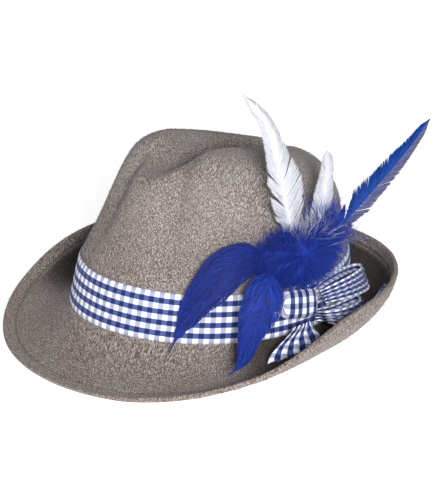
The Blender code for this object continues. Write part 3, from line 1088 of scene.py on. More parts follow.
@dataclass(frozen=True)
class ShaderGroups:
    """The effects that several materials share, each built once."""

    def open(self, name: str, inputs: dict[str, object], outputs: dict[str, str]) -> tuple:
        """Opens a shader group with named sockets.

        Args:
            name: The group's name.
            inputs: Each input's name with its usual value, None for a vector.
            outputs: Each output's name with its kind, colour or value.

        Returns:
            The group's page, its input node and its output node.
        """
        tree = bpy.data.node_groups.new(name, "ShaderNodeTree")
        for label, value in inputs.items():
            kind = "NodeSocketFloat"
            if value is None:
                kind = "NodeSocketVector"
            elif isinstance(value, tuple):
                kind = "NodeSocketColor"
            socket = tree.interface.new_socket(label, in_out="INPUT", socket_type=kind)
            if value is not None:
                socket.default_value = value
        for label, kind in outputs.items():
            made = "NodeSocketColor" if kind == "colour" else "NodeSocketFloat"
            tree.interface.new_socket(label, in_out="OUTPUT", socket_type=made)
        page = ShaderPage(tree)
        return page, page.node("NodeGroupInput"), page.node("NodeGroupOutput")

    @cached_property
    def flecks(self) -> bpy.types.NodeTree:
        """Fibres of several shades mixed through each other, as in a mottled yarn or felt.

        Returns:
            The group.
        """
        inputs = {"Vector": None, "Scale": 900.0, "Base": GREY, "Dark": GREY, "Light": GREY, "Amount": 1.0}
        page, start, end = self.open("flecks", inputs, {"Colour": "colour", "Height": "value"})
        fibres = []
        for turn, length in (((0.5, 0.8, 0.0), 8.0), ((-0.9, 0.3, 0.6), 7.0)):
            laid = page.node("ShaderNodeMapping", vector_type="TEXTURE")
            set_inputs(laid, Rotation=turn, Scale=(1.0, 1.0, length))
            page.feed(start.outputs["Vector"], laid.inputs["Vector"])
            fibre = page.node("ShaderNodeTexNoise")
            set_inputs(fibre, Detail=3.0, Roughness=0.7)
            page.feed(laid.outputs["Vector"], fibre.inputs["Vector"])
            page.feed(start.outputs["Scale"], fibre.inputs["Scale"])
            fibres.append(fibre.outputs["Fac"])
        dark = page.math("MULTIPLY", page.ramp(fibres[0], 0.53, 0.41), start.outputs["Amount"])
        light = page.math("MULTIPLY", page.ramp(fibres[1], 0.49, 0.60), start.outputs["Amount"])
        colour = page.mix(dark, start.outputs["Base"], start.outputs["Dark"])
        page.feed(page.mix(light, colour, start.outputs["Light"]), end.inputs["Colour"])
        page.feed(page.math("ADD", fibres[0], fibres[1]), end.inputs["Height"])
        return page.tree

    @cached_property
    def check(self) -> bpy.types.NodeTree:
        """Woven checks on a flat map in metres, with their threads.

        Returns:
            The group.
        """
        inputs = {"Vector": None, "Check": 0.004, "Thread": 0.0004}
        inputs.update(dict.fromkeys(("Ground", "Upright", "Level", "Crossing"), GREY))
        page, start, end = self.open("check", inputs, {"Colour": "colour", "Height": "value"})
        split = page.node("ShaderNodeSeparateXYZ")
        page.feed(start.outputs["Vector"], split.inputs["Vector"])
        stripes = []
        threads = []
        for axis in ("X", "Y"):
            turn = page.math("DIVIDE", split.outputs[axis], start.outputs["Check"])
            wave = page.math("SINE", page.math("MULTIPLY", turn, math.pi))
            stripes.append(page.ramp(wave, 0.22, -0.22))
            fine = page.math("DIVIDE", split.outputs[axis], start.outputs["Thread"])
            threads.append(page.math("SINE", page.math("MULTIPLY", fine, math.pi)))
        pale = page.mix(stripes[0], start.outputs["Ground"], start.outputs["Upright"])
        deep = page.mix(stripes[0], start.outputs["Level"], start.outputs["Crossing"])
        colour = page.mix(stripes[1], pale, deep)
        weave = page.math("MULTIPLY", threads[0], threads[1])
        uneven = page.grain(start.outputs["Vector"], 700.0, 1.0)
        lighter = page.math("MULTIPLY_ADD", uneven, 0.24, 0.5)
        shade = page.math("MULTIPLY_ADD", weave, 0.05, lighter)
        bright = page.math("ADD", shade, 0.86)
        tone = page.node("ShaderNodeCombineColor")
        for channel in ("Red", "Green", "Blue"):
            page.feed(bright, tone.inputs[channel])
        page.feed(page.mix(1.0, colour, tone.outputs["Color"], "MULTIPLY"), end.inputs["Colour"])
        page.feed(weave, end.inputs["Height"])
        return page.tree


GROUPS = ShaderGroups()


def open_material(name: str) -> tuple[Material, ShaderPage, Node]:
    """A new material with its page and its shader.

    Args:
        name: The material's name.

    Returns:
        The material, its page and its shader.
    """
    made = bpy.data.materials.new(name)
    made.use_nodes = True
    return made, ShaderPage(made.node_tree), made.node_tree.nodes["Principled BSDF"]


def add_bump(page: ShaderPage, shader: Node, height: object, strength: float, depth: float) -> None:
    """Raises a material's surface by a height.

    Args:
        page: The material's page.
        shader: Its shader.
        height: The height's output.
        strength: How strongly it shows.
        depth: The depth of a height of one.
    """
    bump = page.node("ShaderNodeBump")
    set_inputs(bump, Strength=strength, Distance=depth)
    page.feed(height, bump.inputs["Height"])
    page.feed(bump.outputs["Normal"], shader.inputs["Normal"])


@dataclass(frozen=True)
class FeltFinish:
    """Mottled wool felt: a grey-brown ground with dark and pale fibres, browner in random blotches and at
    the hem, with painted shade that browns the front and darkens the brim's deep fold.
    """

    ground: Colour = (0.250, 0.214, 0.202)
    brown: Colour = (0.182, 0.122, 0.094)
    # The dark colour of the painted shade in the brim's deep fold.
    shade: Colour = (0.030, 0.023, 0.020)
    dark: Colour = (0.045, 0.033, 0.029)
    light: Colour = (0.62, 0.58, 0.56)
    fleck: float = 2400.0
    rough: float = 0.95
    sheen: float = 0.12

    def build(self, name: str) -> Material:
        """Builds the material.

        Args:
            name: The material's name.

        Returns:
            The material.
        """
        made, page, shader = open_material(name)
        place = page.node("ShaderNodeTexCoord").outputs["Object"]
        blotch = page.ramp(page.grain(place, 28.0, 3.0), 0.35, 0.65)
        edge = page.node("ShaderNodeAttribute", attribute_name="edge").outputs["Fac"]
        split = page.node("ShaderNodeSeparateXYZ")
        page.feed(place, split.inputs["Vector"])
        # Painted shade: the felt is mixed browner and darker towards the front (-Y), where the front wall
        # lies in shade; the blotches and the hem's edge add the felt's own browner tone.
        front_shade = page.ramp(split.outputs["Y"], 0.0, -0.11)
        brown_and_front_shade = page.math("MULTIPLY_ADD", blotch, 0.4, page.math("MULTIPLY", front_shade, 0.6))
        brown_and_front_shade = page.math("MAXIMUM", brown_and_front_shade, page.math("MULTIPLY", edge, 0.8))
        gutter = page.node("ShaderNodeAttribute", attribute_name="gutter").outputs["Fac"]
        base = page.mix(brown_and_front_shade, (*self.ground, 1), (*self.brown, 1))
        wool = page.group(
            GROUPS.flecks,
            Vector=place,
            Scale=self.fleck,
            Base=base,
            Dark=(*self.dark, 1),
            Light=(*self.light, 1),
            Amount=0.9,
        )
        # Painted shade: the felt is darkened towards the shade colour in the brim's deep fold, where shadow
        # falls.
        shaded_felt = page.mix(page.math("MULTIPLY", gutter, 0.84), wool.outputs["Colour"], (*self.shade, 1))
        page.feed(shaded_felt, shader.inputs["Base Color"])
        set_inputs(shader, Roughness=self.rough, Sheen_Roughness=0.5, Specular_IOR_Level=0.1)
        # The painted gutter shade also takes the sheen away there, so the fold stays dark.
        free = page.math("SUBTRACT", 1.0, gutter)
        page.feed(page.math("MULTIPLY", free, self.sheen), shader.inputs["Sheen Weight"])
        soft = page.math("MULTIPLY_ADD", page.grain(place, 160.0), 0.8, wool.outputs["Height"])
        add_bump(page, shader, soft, 0.55, 0.0006)
        return made


@dataclass(frozen=True)
class CheckFinish:
    """Woven cotton checks: white, pale, mid and deep blue cells, one weave of two yarns."""

    check: float = 0.00339
    thread: float = 0.00040
    white: Colour = (0.74, 0.76, 0.83)
    pale: Colour = (0.29, 0.31, 0.45)
    mid: Colour = (0.048, 0.076, 0.235)
    deep: Colour = (0.011, 0.017, 0.080)

    def build(self, name: str) -> Material:
        """Builds the material.

        Args:
            name: The material's name.

        Returns:
            The material.
        """
        made, page, shader = open_material(name)
        flat = page.node("ShaderNodeUVMap", uv_map="flat").outputs["UV"]
        cloth = page.group(
            GROUPS.check,
            Vector=flat,
            Check=self.check,
            Thread=self.thread,
            Ground=(*self.white, 1),
            Upright=(*self.pale, 1),
            Level=(*self.mid, 1),
            Crossing=(*self.deep, 1),
        )
        page.feed(cloth.outputs["Colour"], shader.inputs["Base Color"])
        set_inputs(shader, Roughness=0.8, Sheen_Weight=0.12, Specular_IOR_Level=0.25)
        place = page.node("ShaderNodeTexCoord").outputs["Object"]
        weave = page.math("MULTIPLY", cloth.outputs["Height"], 0.3)
        crumple = page.math("MULTIPLY_ADD", page.grain(place, 260.0), 1.6, weave)
        add_bump(page, shader, crumple, 0.35, 0.0004)
        return made


@dataclass(frozen=True)
class PlumeFinish:
    """Dyed or natural feather barbs, from a deep shade to a bright one."""

    deep: Colour
    bright: Colour
    rough: float = 0.62
    sheen: float = 0.3
    glow: float = 0.0

    def build(self, name: str) -> Material:
        """Builds the material.

        Args:
            name: The material's name.

        Returns:
            The material.
        """
        made, page, shader = open_material(name)
        tint = page.node("ShaderNodeAttribute", attribute_name="tint").outputs["Fac"]
        place = page.node("ShaderNodeTexCoord").outputs["Object"]
        lowered = page.math("SUBTRACT", tint, 0.25)
        uneven = page.math("MULTIPLY_ADD", page.grain(place, 420.0), 0.5, lowered, clamp=True)
        colour = page.mix(uneven, (*self.deep, 1), (*self.bright, 1))
        page.feed(colour, shader.inputs["Base Color"])
        set_inputs(shader, Roughness=self.rough, Sheen_Weight=self.sheen, Sheen_Roughness=0.4)
        set_inputs(shader, Specular_IOR_Level=0.3, Subsurface_Weight=self.glow, Subsurface_Scale=0.002)
        add_bump(page, shader, page.grain(place, 1500.0, 1.0), 0.25, 0.0002)
        return made


@dataclass(frozen=True)
class ThreadFinish:
    """Sewing thread in the felt's own shade."""

    base: Colour = (0.15, 0.115, 0.095)

    def build(self, name: str) -> Material:
        """Builds the material.

        Args:
            name: The material's name.

        Returns:
            The material.
        """
        made, page, shader = open_material(name)
        place = page.node("ShaderNodeTexCoord").outputs["Object"]
        yarn = page.group(
            GROUPS.flecks,
            Vector=place,
            Scale=1800.0,
            Base=(*self.base, 1),
            Dark=tuple(part * 0.5 for part in self.base) + (1,),
            Light=tuple(part * 1.8 for part in self.base) + (1,),
            Amount=0.8,
        )
        page.feed(yarn.outputs["Colour"], shader.inputs["Base Color"])
        set_inputs(shader, Roughness=0.75)
        add_bump(page, shader, yarn.outputs["Height"], 0.3, 0.0002)
        return made


@dataclass(frozen=True)
class FloorFinish:
    """A plain pale studio floor."""

    pale: Colour = (0.93, 0.93, 0.93)

    def build(self, name: str) -> Material:
        """Builds the material.

        Args:
            name: The material's name.

        Returns:
            The material.
        """
        made, page, shader = open_material(name)
        place = page.node("ShaderNodeTexCoord").outputs["Object"]
        duller = tuple(part * 0.985 for part in self.pale) + (1,)
        shade = page.mix(page.grain(place, 3.0), (*self.pale, 1), duller)
        page.feed(shade, shader.inputs["Base Color"])
        set_inputs(shader, Roughness=0.9, Emission_Color=(*self.pale, 1), Emission_Strength=0.65)
        return made


class Finish(Enum):
    """The finishes on the hat, each with what it is made of."""

    FELT = FeltFinish()
    THREAD = ThreadFinish()
    CHECK = CheckFinish()
    WHITE = PlumeFinish((0.52, 0.50, 0.57), (0.80, 0.78, 0.82), 0.7, 0.1, 0.15)
    BLUE = PlumeFinish((0.005, 0.012, 0.15), (0.012, 0.070, 0.62), 0.55, 0.06)
    QUILL_BLUE = PlumeFinish((0.0004, 0.010, 0.10), (0.0005, 0.060, 0.36), 0.5, 0.03)
    GREY_VANE = PlumeFinish((0.035, 0.040, 0.12), (0.13, 0.135, 0.31), 0.55, 0.04)

    def material(self) -> Material:
        """The finish's material, built the first time it is asked for."""
        name = f"{self.name.lower()}_finish"
        return bpy.data.materials.get(name) or self.value.build(name)


# The felt


@dataclass
class FeltBody:
    """The crown and brim, one felt skin with a sewn hem at the brim's edge."""

    form: HatForm
    columns: int = 240
    hem_raise: float = 0.0012
    groove: float = 0.0013
    groove_wide: float = 0.0008
    rim_round: float = 0.0009
    pressed_felt: float = 0.0011
    wave: float = 0.00035
    stitch_step: float = 0.0034
    nap_least: float = 0.004
    nap_density: float = 150000.0
    # Where the painted shade in the brim's fold begins from the front, and how softly it comes in.
    gutter_turn: float = 50.0
    gutter_ease: float = 22.0
    hem_steps: tuple[float, ...] = (0.0, 0.0005, 0.0013, 0.0024, 0.0038, 0.0052, 0.0062, 0.0068)
    groove_steps: tuple[float, ...] = (0.0072, 0.0075, 0.0078, 0.0082, 0.0088, 0.0098)
    brim_rows: int = 16
    wall_rows: int = 26
    top_rows: int = 20

    def distances(self, turn: float) -> list[float]:
        """The brim's rows as distances from its root, from the rim inwards.

        Args:
            turn: The angle from the front.

        Returns:
            The distances.
        """
        width = self.form.brim_width(turn)
        hem = [width - step for step in (*self.hem_steps, *self.groove_steps)]
        return hem + [hem[-1] * (1 - k / self.brim_rows) for k in range(1, self.brim_rows + 1)]

    def skin(self) -> Grid:
        """The felt's upper side, from the rim over the crown to near the middle of the dent.

        Returns:
            The rows of points, in the frame of the head's oval.
        """
        form = self.form
        turns = [360 * j / self.columns for j in range(self.columns)]
        spokes = [[form.brim_point(turn, step) for step in self.distances(turn)] for turn in turns]
        brim = [list(row) for row in zip(*spokes)]
        rises = [0.02 + 0.98 * k / self.wall_rows for k in range(self.wall_rows + 1)]
        walls = [[form.wall_point(t, rise) for t in turns] for rise in rises]
        shares = [1 - 0.96 * (k / self.top_rows) ** 0.9 for k in range(1, self.top_rows + 1)]
        tops = [[form.top_point(t, share) for t in turns] for share in shares]
        grid = brim + walls + tops
        shoulder = len(brim) + len(walls) - 1
        self.soften(grid, shoulder, 5, 5)
        self.soften(grid, len(brim), 2, 2)
        self.ruffle(grid, len(brim))
        return grid

    def soften(self, grid: Grid, row: int, reach: int, rounds: int) -> None:
        """Rounds a crease by easing the rows beside it.

        Args:
            grid: The rows, changed in place.
            row: The crease's row.
            reach: How many rows beside it are eased.
            rounds: How often.
        """
        for _ in range(rounds):
            for i in range(row - reach, row + reach + 1):
                above, here, below = grid[i - 1], grid[i], grid[i + 1]
                grid[i] = [a * 0.25 + b * 0.5 + c * 0.25 for a, b, c in zip(above, here, below)]

    def ruffle(self, grid: Grid, root: int) -> None:
        """Gives the felt the slight unevenness of hand-steamed wool, less under the ribbon.

        Args:
            grid: The rows, changed in place.
            root: The row of the brim's root.
        """
        normals = normals_of(grid, True)
        for i, line in enumerate(grid):
            under = 0.2 if root - 3 < i < root + 10 else 1.0
            for j, point in enumerate(line):
                broad = noise.noise(point * 32.0)
                small = noise.noise(point * 95.0 + Vector((7, 3, 1)))
                line[j] = point + normals[i][j] * self.wave * under * (broad + 0.45 * small)

    def hem_lift(self, step: float) -> float:
        """The height of the hem over the plain felt, a step in from the rim."""
        rise = self.hem_raise * (1 - smooth((step - 0.0064) / 0.0018))
        return rise - self.groove * math.exp(-(((step - self.form.hem_width) / self.groove_wide) ** 2))

    def build(self) -> list[Piece]:
        """Builds the felt with its nap and its hem stitches.

        Returns:
            The felt, the nap and the stitches.
        """
        form = self.form
        grid = self.skin()
        normals = normals_of(grid, True)
        steps = (*self.hem_steps, *self.groove_steps)
        outer: Grid = []
        inner: Grid = []
        for i, line in enumerate(grid):
            lift = self.hem_lift(steps[i]) if i < len(steps) else 0.0
            outer.append([form.pressed(p + n * lift, self.pressed_felt) for p, n in zip(line, normals[i])])
            inner.append([form.pressed(p - n * form.felt, 0.0) for p, n in zip(line, normals[i])])
        rim: Grid = []
        for degrees in (54, 18, -18, -54):
            angle = math.radians(degrees)
            line = []
            for j in range(self.columns):
                top, under = outer[0][j], inner[0][j]
                away = (outer[0][j] - outer[1][j]).normalized()
                half = (top + under) / 2
                bulge = away * self.rim_round * math.cos(angle)
                line.append(half + (top - under) / 2 * math.sin(angle) + bulge)
            rim.append(line)
        rings = [*reversed(inner), *reversed(rim), *outer]
        body = self.shell(rings, len(inner), len(rim))
        LOG.info("felt: %d faces", len(body.data.polygons))
        return [body, self.nap(body), self.stitches(grid, normals)]

    def shell(self, rings: Grid, inside: int, rim: int) -> Piece:
        """Closes the rings into the felt's body and marks its edge, its nap and its painted gutter shade.

        Args:
            rings: The rings from inside the crown, round the rim, to the top of the crown.
            inside: How many of them are the under side.
            rim: How many are the rim's round edge.

        Returns:
            The felt's body.
        """
        columns = self.columns
        shell = Shell()
        shell.points = [point for ring in rings for point in ring]
        for i in range(len(rings) - 1):
            for j in range(columns):
                k = (j + 1) % columns
                a, b = i * columns, (i + 1) * columns
                uv = [(j / columns, i * 0.01), ((j + 1) / columns, i * 0.01)]
                shell.add_face((a + j, a + k, b + k, b + j), [*uv, uv[1], uv[0]])
        for start, ring in ((0, rings[0]), (len(shell.points) - columns, rings[-1])):
            tip = len(shell.points)
            shell.points.append(sum(ring, Vector()) / columns)
            for j in range(columns):
                shell.add_face((start + j, start + (j + 1) % columns, tip), [(0, 0), (1, 0), (0.5, 1)])
        piece = shell.piece("felt_skin", Finish.FELT.material())
        hem = len(self.hem_steps) + 2
        edge = []
        nap = []
        gutter = []
        for i in range(len(rings)):
            outward = i - inside
            # The painted shade in the brim's fold, one share for each point.
            gutter.extend(self.gutter(outward - rim, 360 * j / columns) for j in range(columns))
            on_hem = -hem <= outward < rim + hem
            edge.extend([1.0 if on_hem else 0.0] * columns)
            free = outward >= -hem - 14
            nap.extend(1.0 if free and point.z > self.nap_least else 0.0 for point in rings[i])
        edge.extend([0.0, 0.0])
        nap.extend([0.0, 1.0])
        mark(piece.data, "edge", edge)
        mark(piece.data, "nap", nap)
        mark(piece.data, "gutter", gutter + [0.0, 0.0])
        return piece

    def gutter(self, row: int, turn: float) -> float:
        """How far a point lies in the deep fold of the brim, where shade is painted into the felt: its
        colour darkened and its sheen taken away.

        Args:
            row: Its row on the upper side, counted from the rim.
            turn: Its angle from the front.

        Returns:
            The share, from 0 to 1.
        """
        beside = smooth((from_front(turn) - self.gutter_turn) / self.gutter_ease)
        hem_rows = len(self.hem_steps) + len(self.groove_steps)
        inwards = smooth((row - hem_rows + 4) / 4)
        return beside * inwards * (1 - smooth((row - hem_rows - self.brim_rows) / 5))

    def nap(self, body: Piece) -> Piece:
        """The loose fibres that stand off the felt.

        Args:
            body: The felt.

        Returns:
            The nap.
        """
        copy = stand("felt_nap", body.data.copy())
        NapTree().apply(copy, Finish.FELT.material(), Density=self.nap_density)
        LOG.info("nap: %d faces", len(copy.data.polygons))
        return copy

    def stitches(self, grid: Grid, normals: Grid) -> Piece:
        """The row of stitches that holds the hem, in its groove.

        Args:
            grid: The felt's rows.
            normals: Their normals.

        Returns:
            The stitches.
        """
        form = self.form
        row = len(self.hem_steps) + 1
        ring = [form.seat @ (p - n * self.groove * 0.45) for p, n in zip(grid[row], normals[row])]
        points: list[Vector] = []
        ways: list[float] = []
        outs: list[float] = []
        turn = form.seat.to_3x3()
        lengths = [(after - here).length for here, after in zip(ring, ring[1:] + ring[:1])]
        count = int(sum(lengths) / self.stitch_step)
        for k in range(count):
            rest = k * sum(lengths) / count
            j = 0
            while rest > lengths[j]:
                rest -= lengths[j]
                j += 1
            way = (ring[(j + 1) % self.columns] - ring[j]).normalized()
            points.append(ring[j] + way * rest)
            ways.extend(way)
            outs.extend(turn @ normals[row][j])
        mesh = bpy.data.meshes.new("hem_stitches")
        mesh.from_pydata(points, [], [])
        mark(mesh, "along", ways, "FLOAT_VECTOR")
        mark(mesh, "out", outs, "FLOAT_VECTOR")
        piece = stand("hem_stitches", mesh)
        StitchTree().apply(piece, Finish.THREAD.material())
        LOG.info("stitches: %d", len(points))
        return piece


# The ribbon


@dataclass
class HatBand:
    """The checked ribbon round the foot of the crown."""

    form: HatForm
    thick: float = 0.0007
    slack: float = 0.00025
    edge: float = 0.0003
    columns: int = 300
    rows: int = 14

    def build(self) -> Piece:
        """Builds the band, with a soft edge and a slight slackness.

        Returns:
            The band.
        """
        form = self.form
        front: list[list[Vector]] = []
        back: list[list[Vector]] = []
        for j in range(self.columns):
            turn = 360 * j / self.columns
            upper = []
            lower = []
            for i in range(self.rows + 1):
                up = form.gap * 2 + (form.ribbon_wide - form.gap * 2) * i / self.rows
                slack = self.slack * (1 + noise.noise(Vector((turn * 0.11, up * 70, 0))))
                edge = self.edge if i in (0, self.rows) else 0.0
                upper.append(form.seat @ form.beside(turn, up, form.gap + self.thick + slack - edge))
                lower.append(form.seat @ form.beside(turn, up, form.gap))
            front.append(upper)
            back.append(lower)
        lengths = [0.0]
        middle = self.rows // 2
        for j in range(self.columns):
            step = front[(j + 1) % self.columns][middle] - front[j][middle]
            lengths.append(lengths[-1] + step.length)
        flat = [
            [(lengths[j], form.ribbon_wide * i / self.rows) for j in range(self.columns + 1)]
            for i in range(self.rows + 1)
        ]
        shell = Shell()
        shell.add_sheet([list(r) for r in zip(*front)], [list(r) for r in zip(*back)], flat, wrap=True)
        piece = shell.piece("band_ribbon", Finish.CHECK.material())
        LOG.info("band: %.3f m round", lengths[-1])
        return piece


@dataclass
class BowKnot:
    """The knot of the bow, a ribbon drawn round its middle."""

    form: HatForm
    width: float = 0.026
    height: float = 0.018
    depth: float = 0.010
    turn: float = 85.0
    middle: float = 0.56
    tilt: float = 0.0016
    square: float = 0.62
    gather: float = 1.15
    pleat_deep: float = 0.0004
    thick: float = 0.0009
    stations: int = 33
    count: int = 48

    def section(self, step: int) -> tuple[float, float]:
        """The wrap's section at a step round it: its height and its depth, from -1 to 1.

        Args:
            step: The step.

        Returns:
            The height and the depth.
        """
        angle = 2 * math.pi * step / self.count
        high, deep = math.sin(angle), math.cos(angle)
        return math.copysign(abs(high) ** self.square, high), math.copysign(abs(deep) ** self.square, deep)

    def build(self) -> Piece:
        """Builds the knot with soft pleats along the wrap.

        Returns:
            The knot.
        """
        form = self.form
        off = form.gap * 2 + self.thick
        spread = math.degrees(self.width / form.head_length * 2)
        wound = [0.0]
        for j in range(self.count):
            here, after = self.section(j), self.section(j + 1)
            step = math.hypot((after[0] - here[0]) * self.height / 2, (after[1] - here[1]) * self.depth / 2)
            wound.append(wound[-1] + step)
        rings = []
        flat: Flat = []
        for i in range(self.stations):
            place = i / (self.stations - 1) * 2 - 1
            bulge = 1 - abs(place) ** 6 * 0.2
            middle = form.unit * self.middle - self.tilt * place
            ring = []
            line = []
            for j in range(self.count + 1):
                high, deep = self.section(j)
                up = middle + self.height / 2 * high * bulge
                round_out = (1 - deep) / 2 * self.depth * bulge
                fold = self.pleat_deep * math.cos(place * 10 + 1.2 * high) * max(-deep, 0)
                turn = self.turn + spread / 2 * place
                ring.append(form.seat @ form.beside(turn, up, off + round_out + fold))
                line.append((wound[j] + 0.001, place * self.width / 2 * self.gather + 0.002))
            rings.append(ring[:-1])
            flat.append(line)
        shell = Shell()
        shell.add_loft(rings, flat)
        piece = shell.piece("bow_wrap", Finish.CHECK.material())
        LOG.info("knot: %d faces", len(piece.data.polygons))
        return piece


@dataclass
class RibbonLoop:
    """A loop of gathered ribbon that leaves the knot and comes back to it."""

    form: HatForm
    name: str
    rows: Sequence[LoopRow]
    lean: float
    pleats: float = 4.0
    pleat_deep: float = 0.0017
    thick: float = 0.0006
    clear: float = 0.0018
    along_count: int = 72
    across: int = 28

    def build(self) -> Piece:
        """Builds the loop with its gathers, closest together at the knot.

        Returns:
            The loop.
        """
        form = self.form
        spots = [form.beside(r.turn, r.up * form.unit, r.out * form.unit) for r in self.rows]
        widths = [r.width for r in self.rows]
        turns = [r.turn for r in self.rows]
        rest = []
        length = 0.0
        lengths = []
        for i in range(self.along_count + 1):
            place = i / self.along_count
            point = on_curve(spots, place)
            width = on_values(widths, place) * form.unit
            turn = on_values(turns, place)
            side = Vector((self.lean, 0, 1)).normalized() * width
            line = [point + side * (j / self.across - 0.5) for j in range(self.across + 1)]
            rest.append([form.over_brim(spot, turn, self.clear) for spot in line])
            if i:
                length += (rest[-1][self.across // 2] - rest[-2][self.across // 2]).length
            lengths.append(length)
        normals = normals_of(rest, False)
        front: Grid = []
        back: Grid = []
        for i, (line, ns) in enumerate(zip(rest, normals)):
            upper = []
            lower = []
            drawn = 1 - 0.45 * math.sin(math.pi * i / self.along_count)
            for j, (point, normal) in enumerate(zip(line, ns)):
                phase = self.pleats * 2 * math.pi * j / self.across
                wander = 0.9 * noise.noise(Vector((i * 0.06, j * 0.09, self.pleats)))
                fold = self.pleat_deep * drawn * (math.sin(phase + wander) - 0.2)
                upper.append(form.seat @ (point + normal * fold))
                lower.append(form.seat @ (point + normal * (fold + self.thick)))
            front.append(upper)
            back.append(lower)
        flat = [
            [(lengths[i], form.ribbon_wide * j / self.across) for j in range(self.across + 1)]
            for i in range(self.along_count + 1)
        ]
        shell = Shell()
        shell.add_sheet(front, back, flat)
        piece = shell.piece(self.name, Finish.CHECK.material())
        LOG.info("%s: %.3f m of ribbon", self.name, length)
        return piece


@dataclass
class RibbonTail:
    """A ribbon end that lies on the brim in pleats."""

    form: HatForm
    name: str
    rows: Sequence[TailRow]
    pleats: int
    pleat_deep: float = 0.0012
    sway: float = 0.0
    thick: float = 0.0006
    along_count: int = 24

    def run(self, grid: Grid, column: int) -> list[float]:
        """The lengths along one column of the end, from the knot outwards.

        Args:
            grid: The end's rows.
            column: The column.

        Returns:
            The length at each row.
        """
        found = [0.0]
        for line, after in zip(grid, grid[1:]):
            found.append(found[-1] + (after[column] - line[column]).length)
        return found

    def build(self) -> Piece:
        """Builds the end, fanned out over the felt and cut on the slant.

        Returns:
            The ribbon end.
        """
        form = self.form
        across = self.pleats * 10
        front: Grid = []
        back: Grid = []
        for i in range(self.along_count + 1):
            out = self.rows[0].out + (self.rows[-1].out - self.rows[0].out) * i / self.along_count
            first = along(self.rows, "out", "first_turn", out)
            last = along(self.rows, "out", "last_turn", out)
            lift = along(self.rows, "out", "lift", out) * form.unit
            upper = []
            lower = []
            for j in range(across + 1):
                share = j / across
                wave = abs(math.sin(math.pi * self.pleats * share + 0.3 * i / self.along_count))
                fold = self.pleat_deep * wave**0.7 + 0.0002 * i / self.along_count
                turn = first + (last - first) * share
                turn += self.sway * math.sin(2 * math.pi * (0.8 * i / self.along_count + 0.6 * share))
                point = form.brim_point(turn, out * form.brim_wide, lift + fold + self.thick)
                upper.append(form.seat @ point)
                lower.append(form.seat @ form.brim_point(turn, out * form.brim_wide, lift + fold))
            front.append(upper)
            back.append(lower)
        first_run = self.run(front, 0)
        last_run = self.run(front, across)
        flat = [
            [(a + (b - a) * j / across, form.ribbon_wide * j / across) for j in range(across + 1)]
            for a, b in zip(first_run, last_run)
        ]
        shell = Shell()
        shell.add_sheet(front, back, flat)
        piece = shell.piece(self.name, Finish.CHECK.material())
        return piece


# The feathers


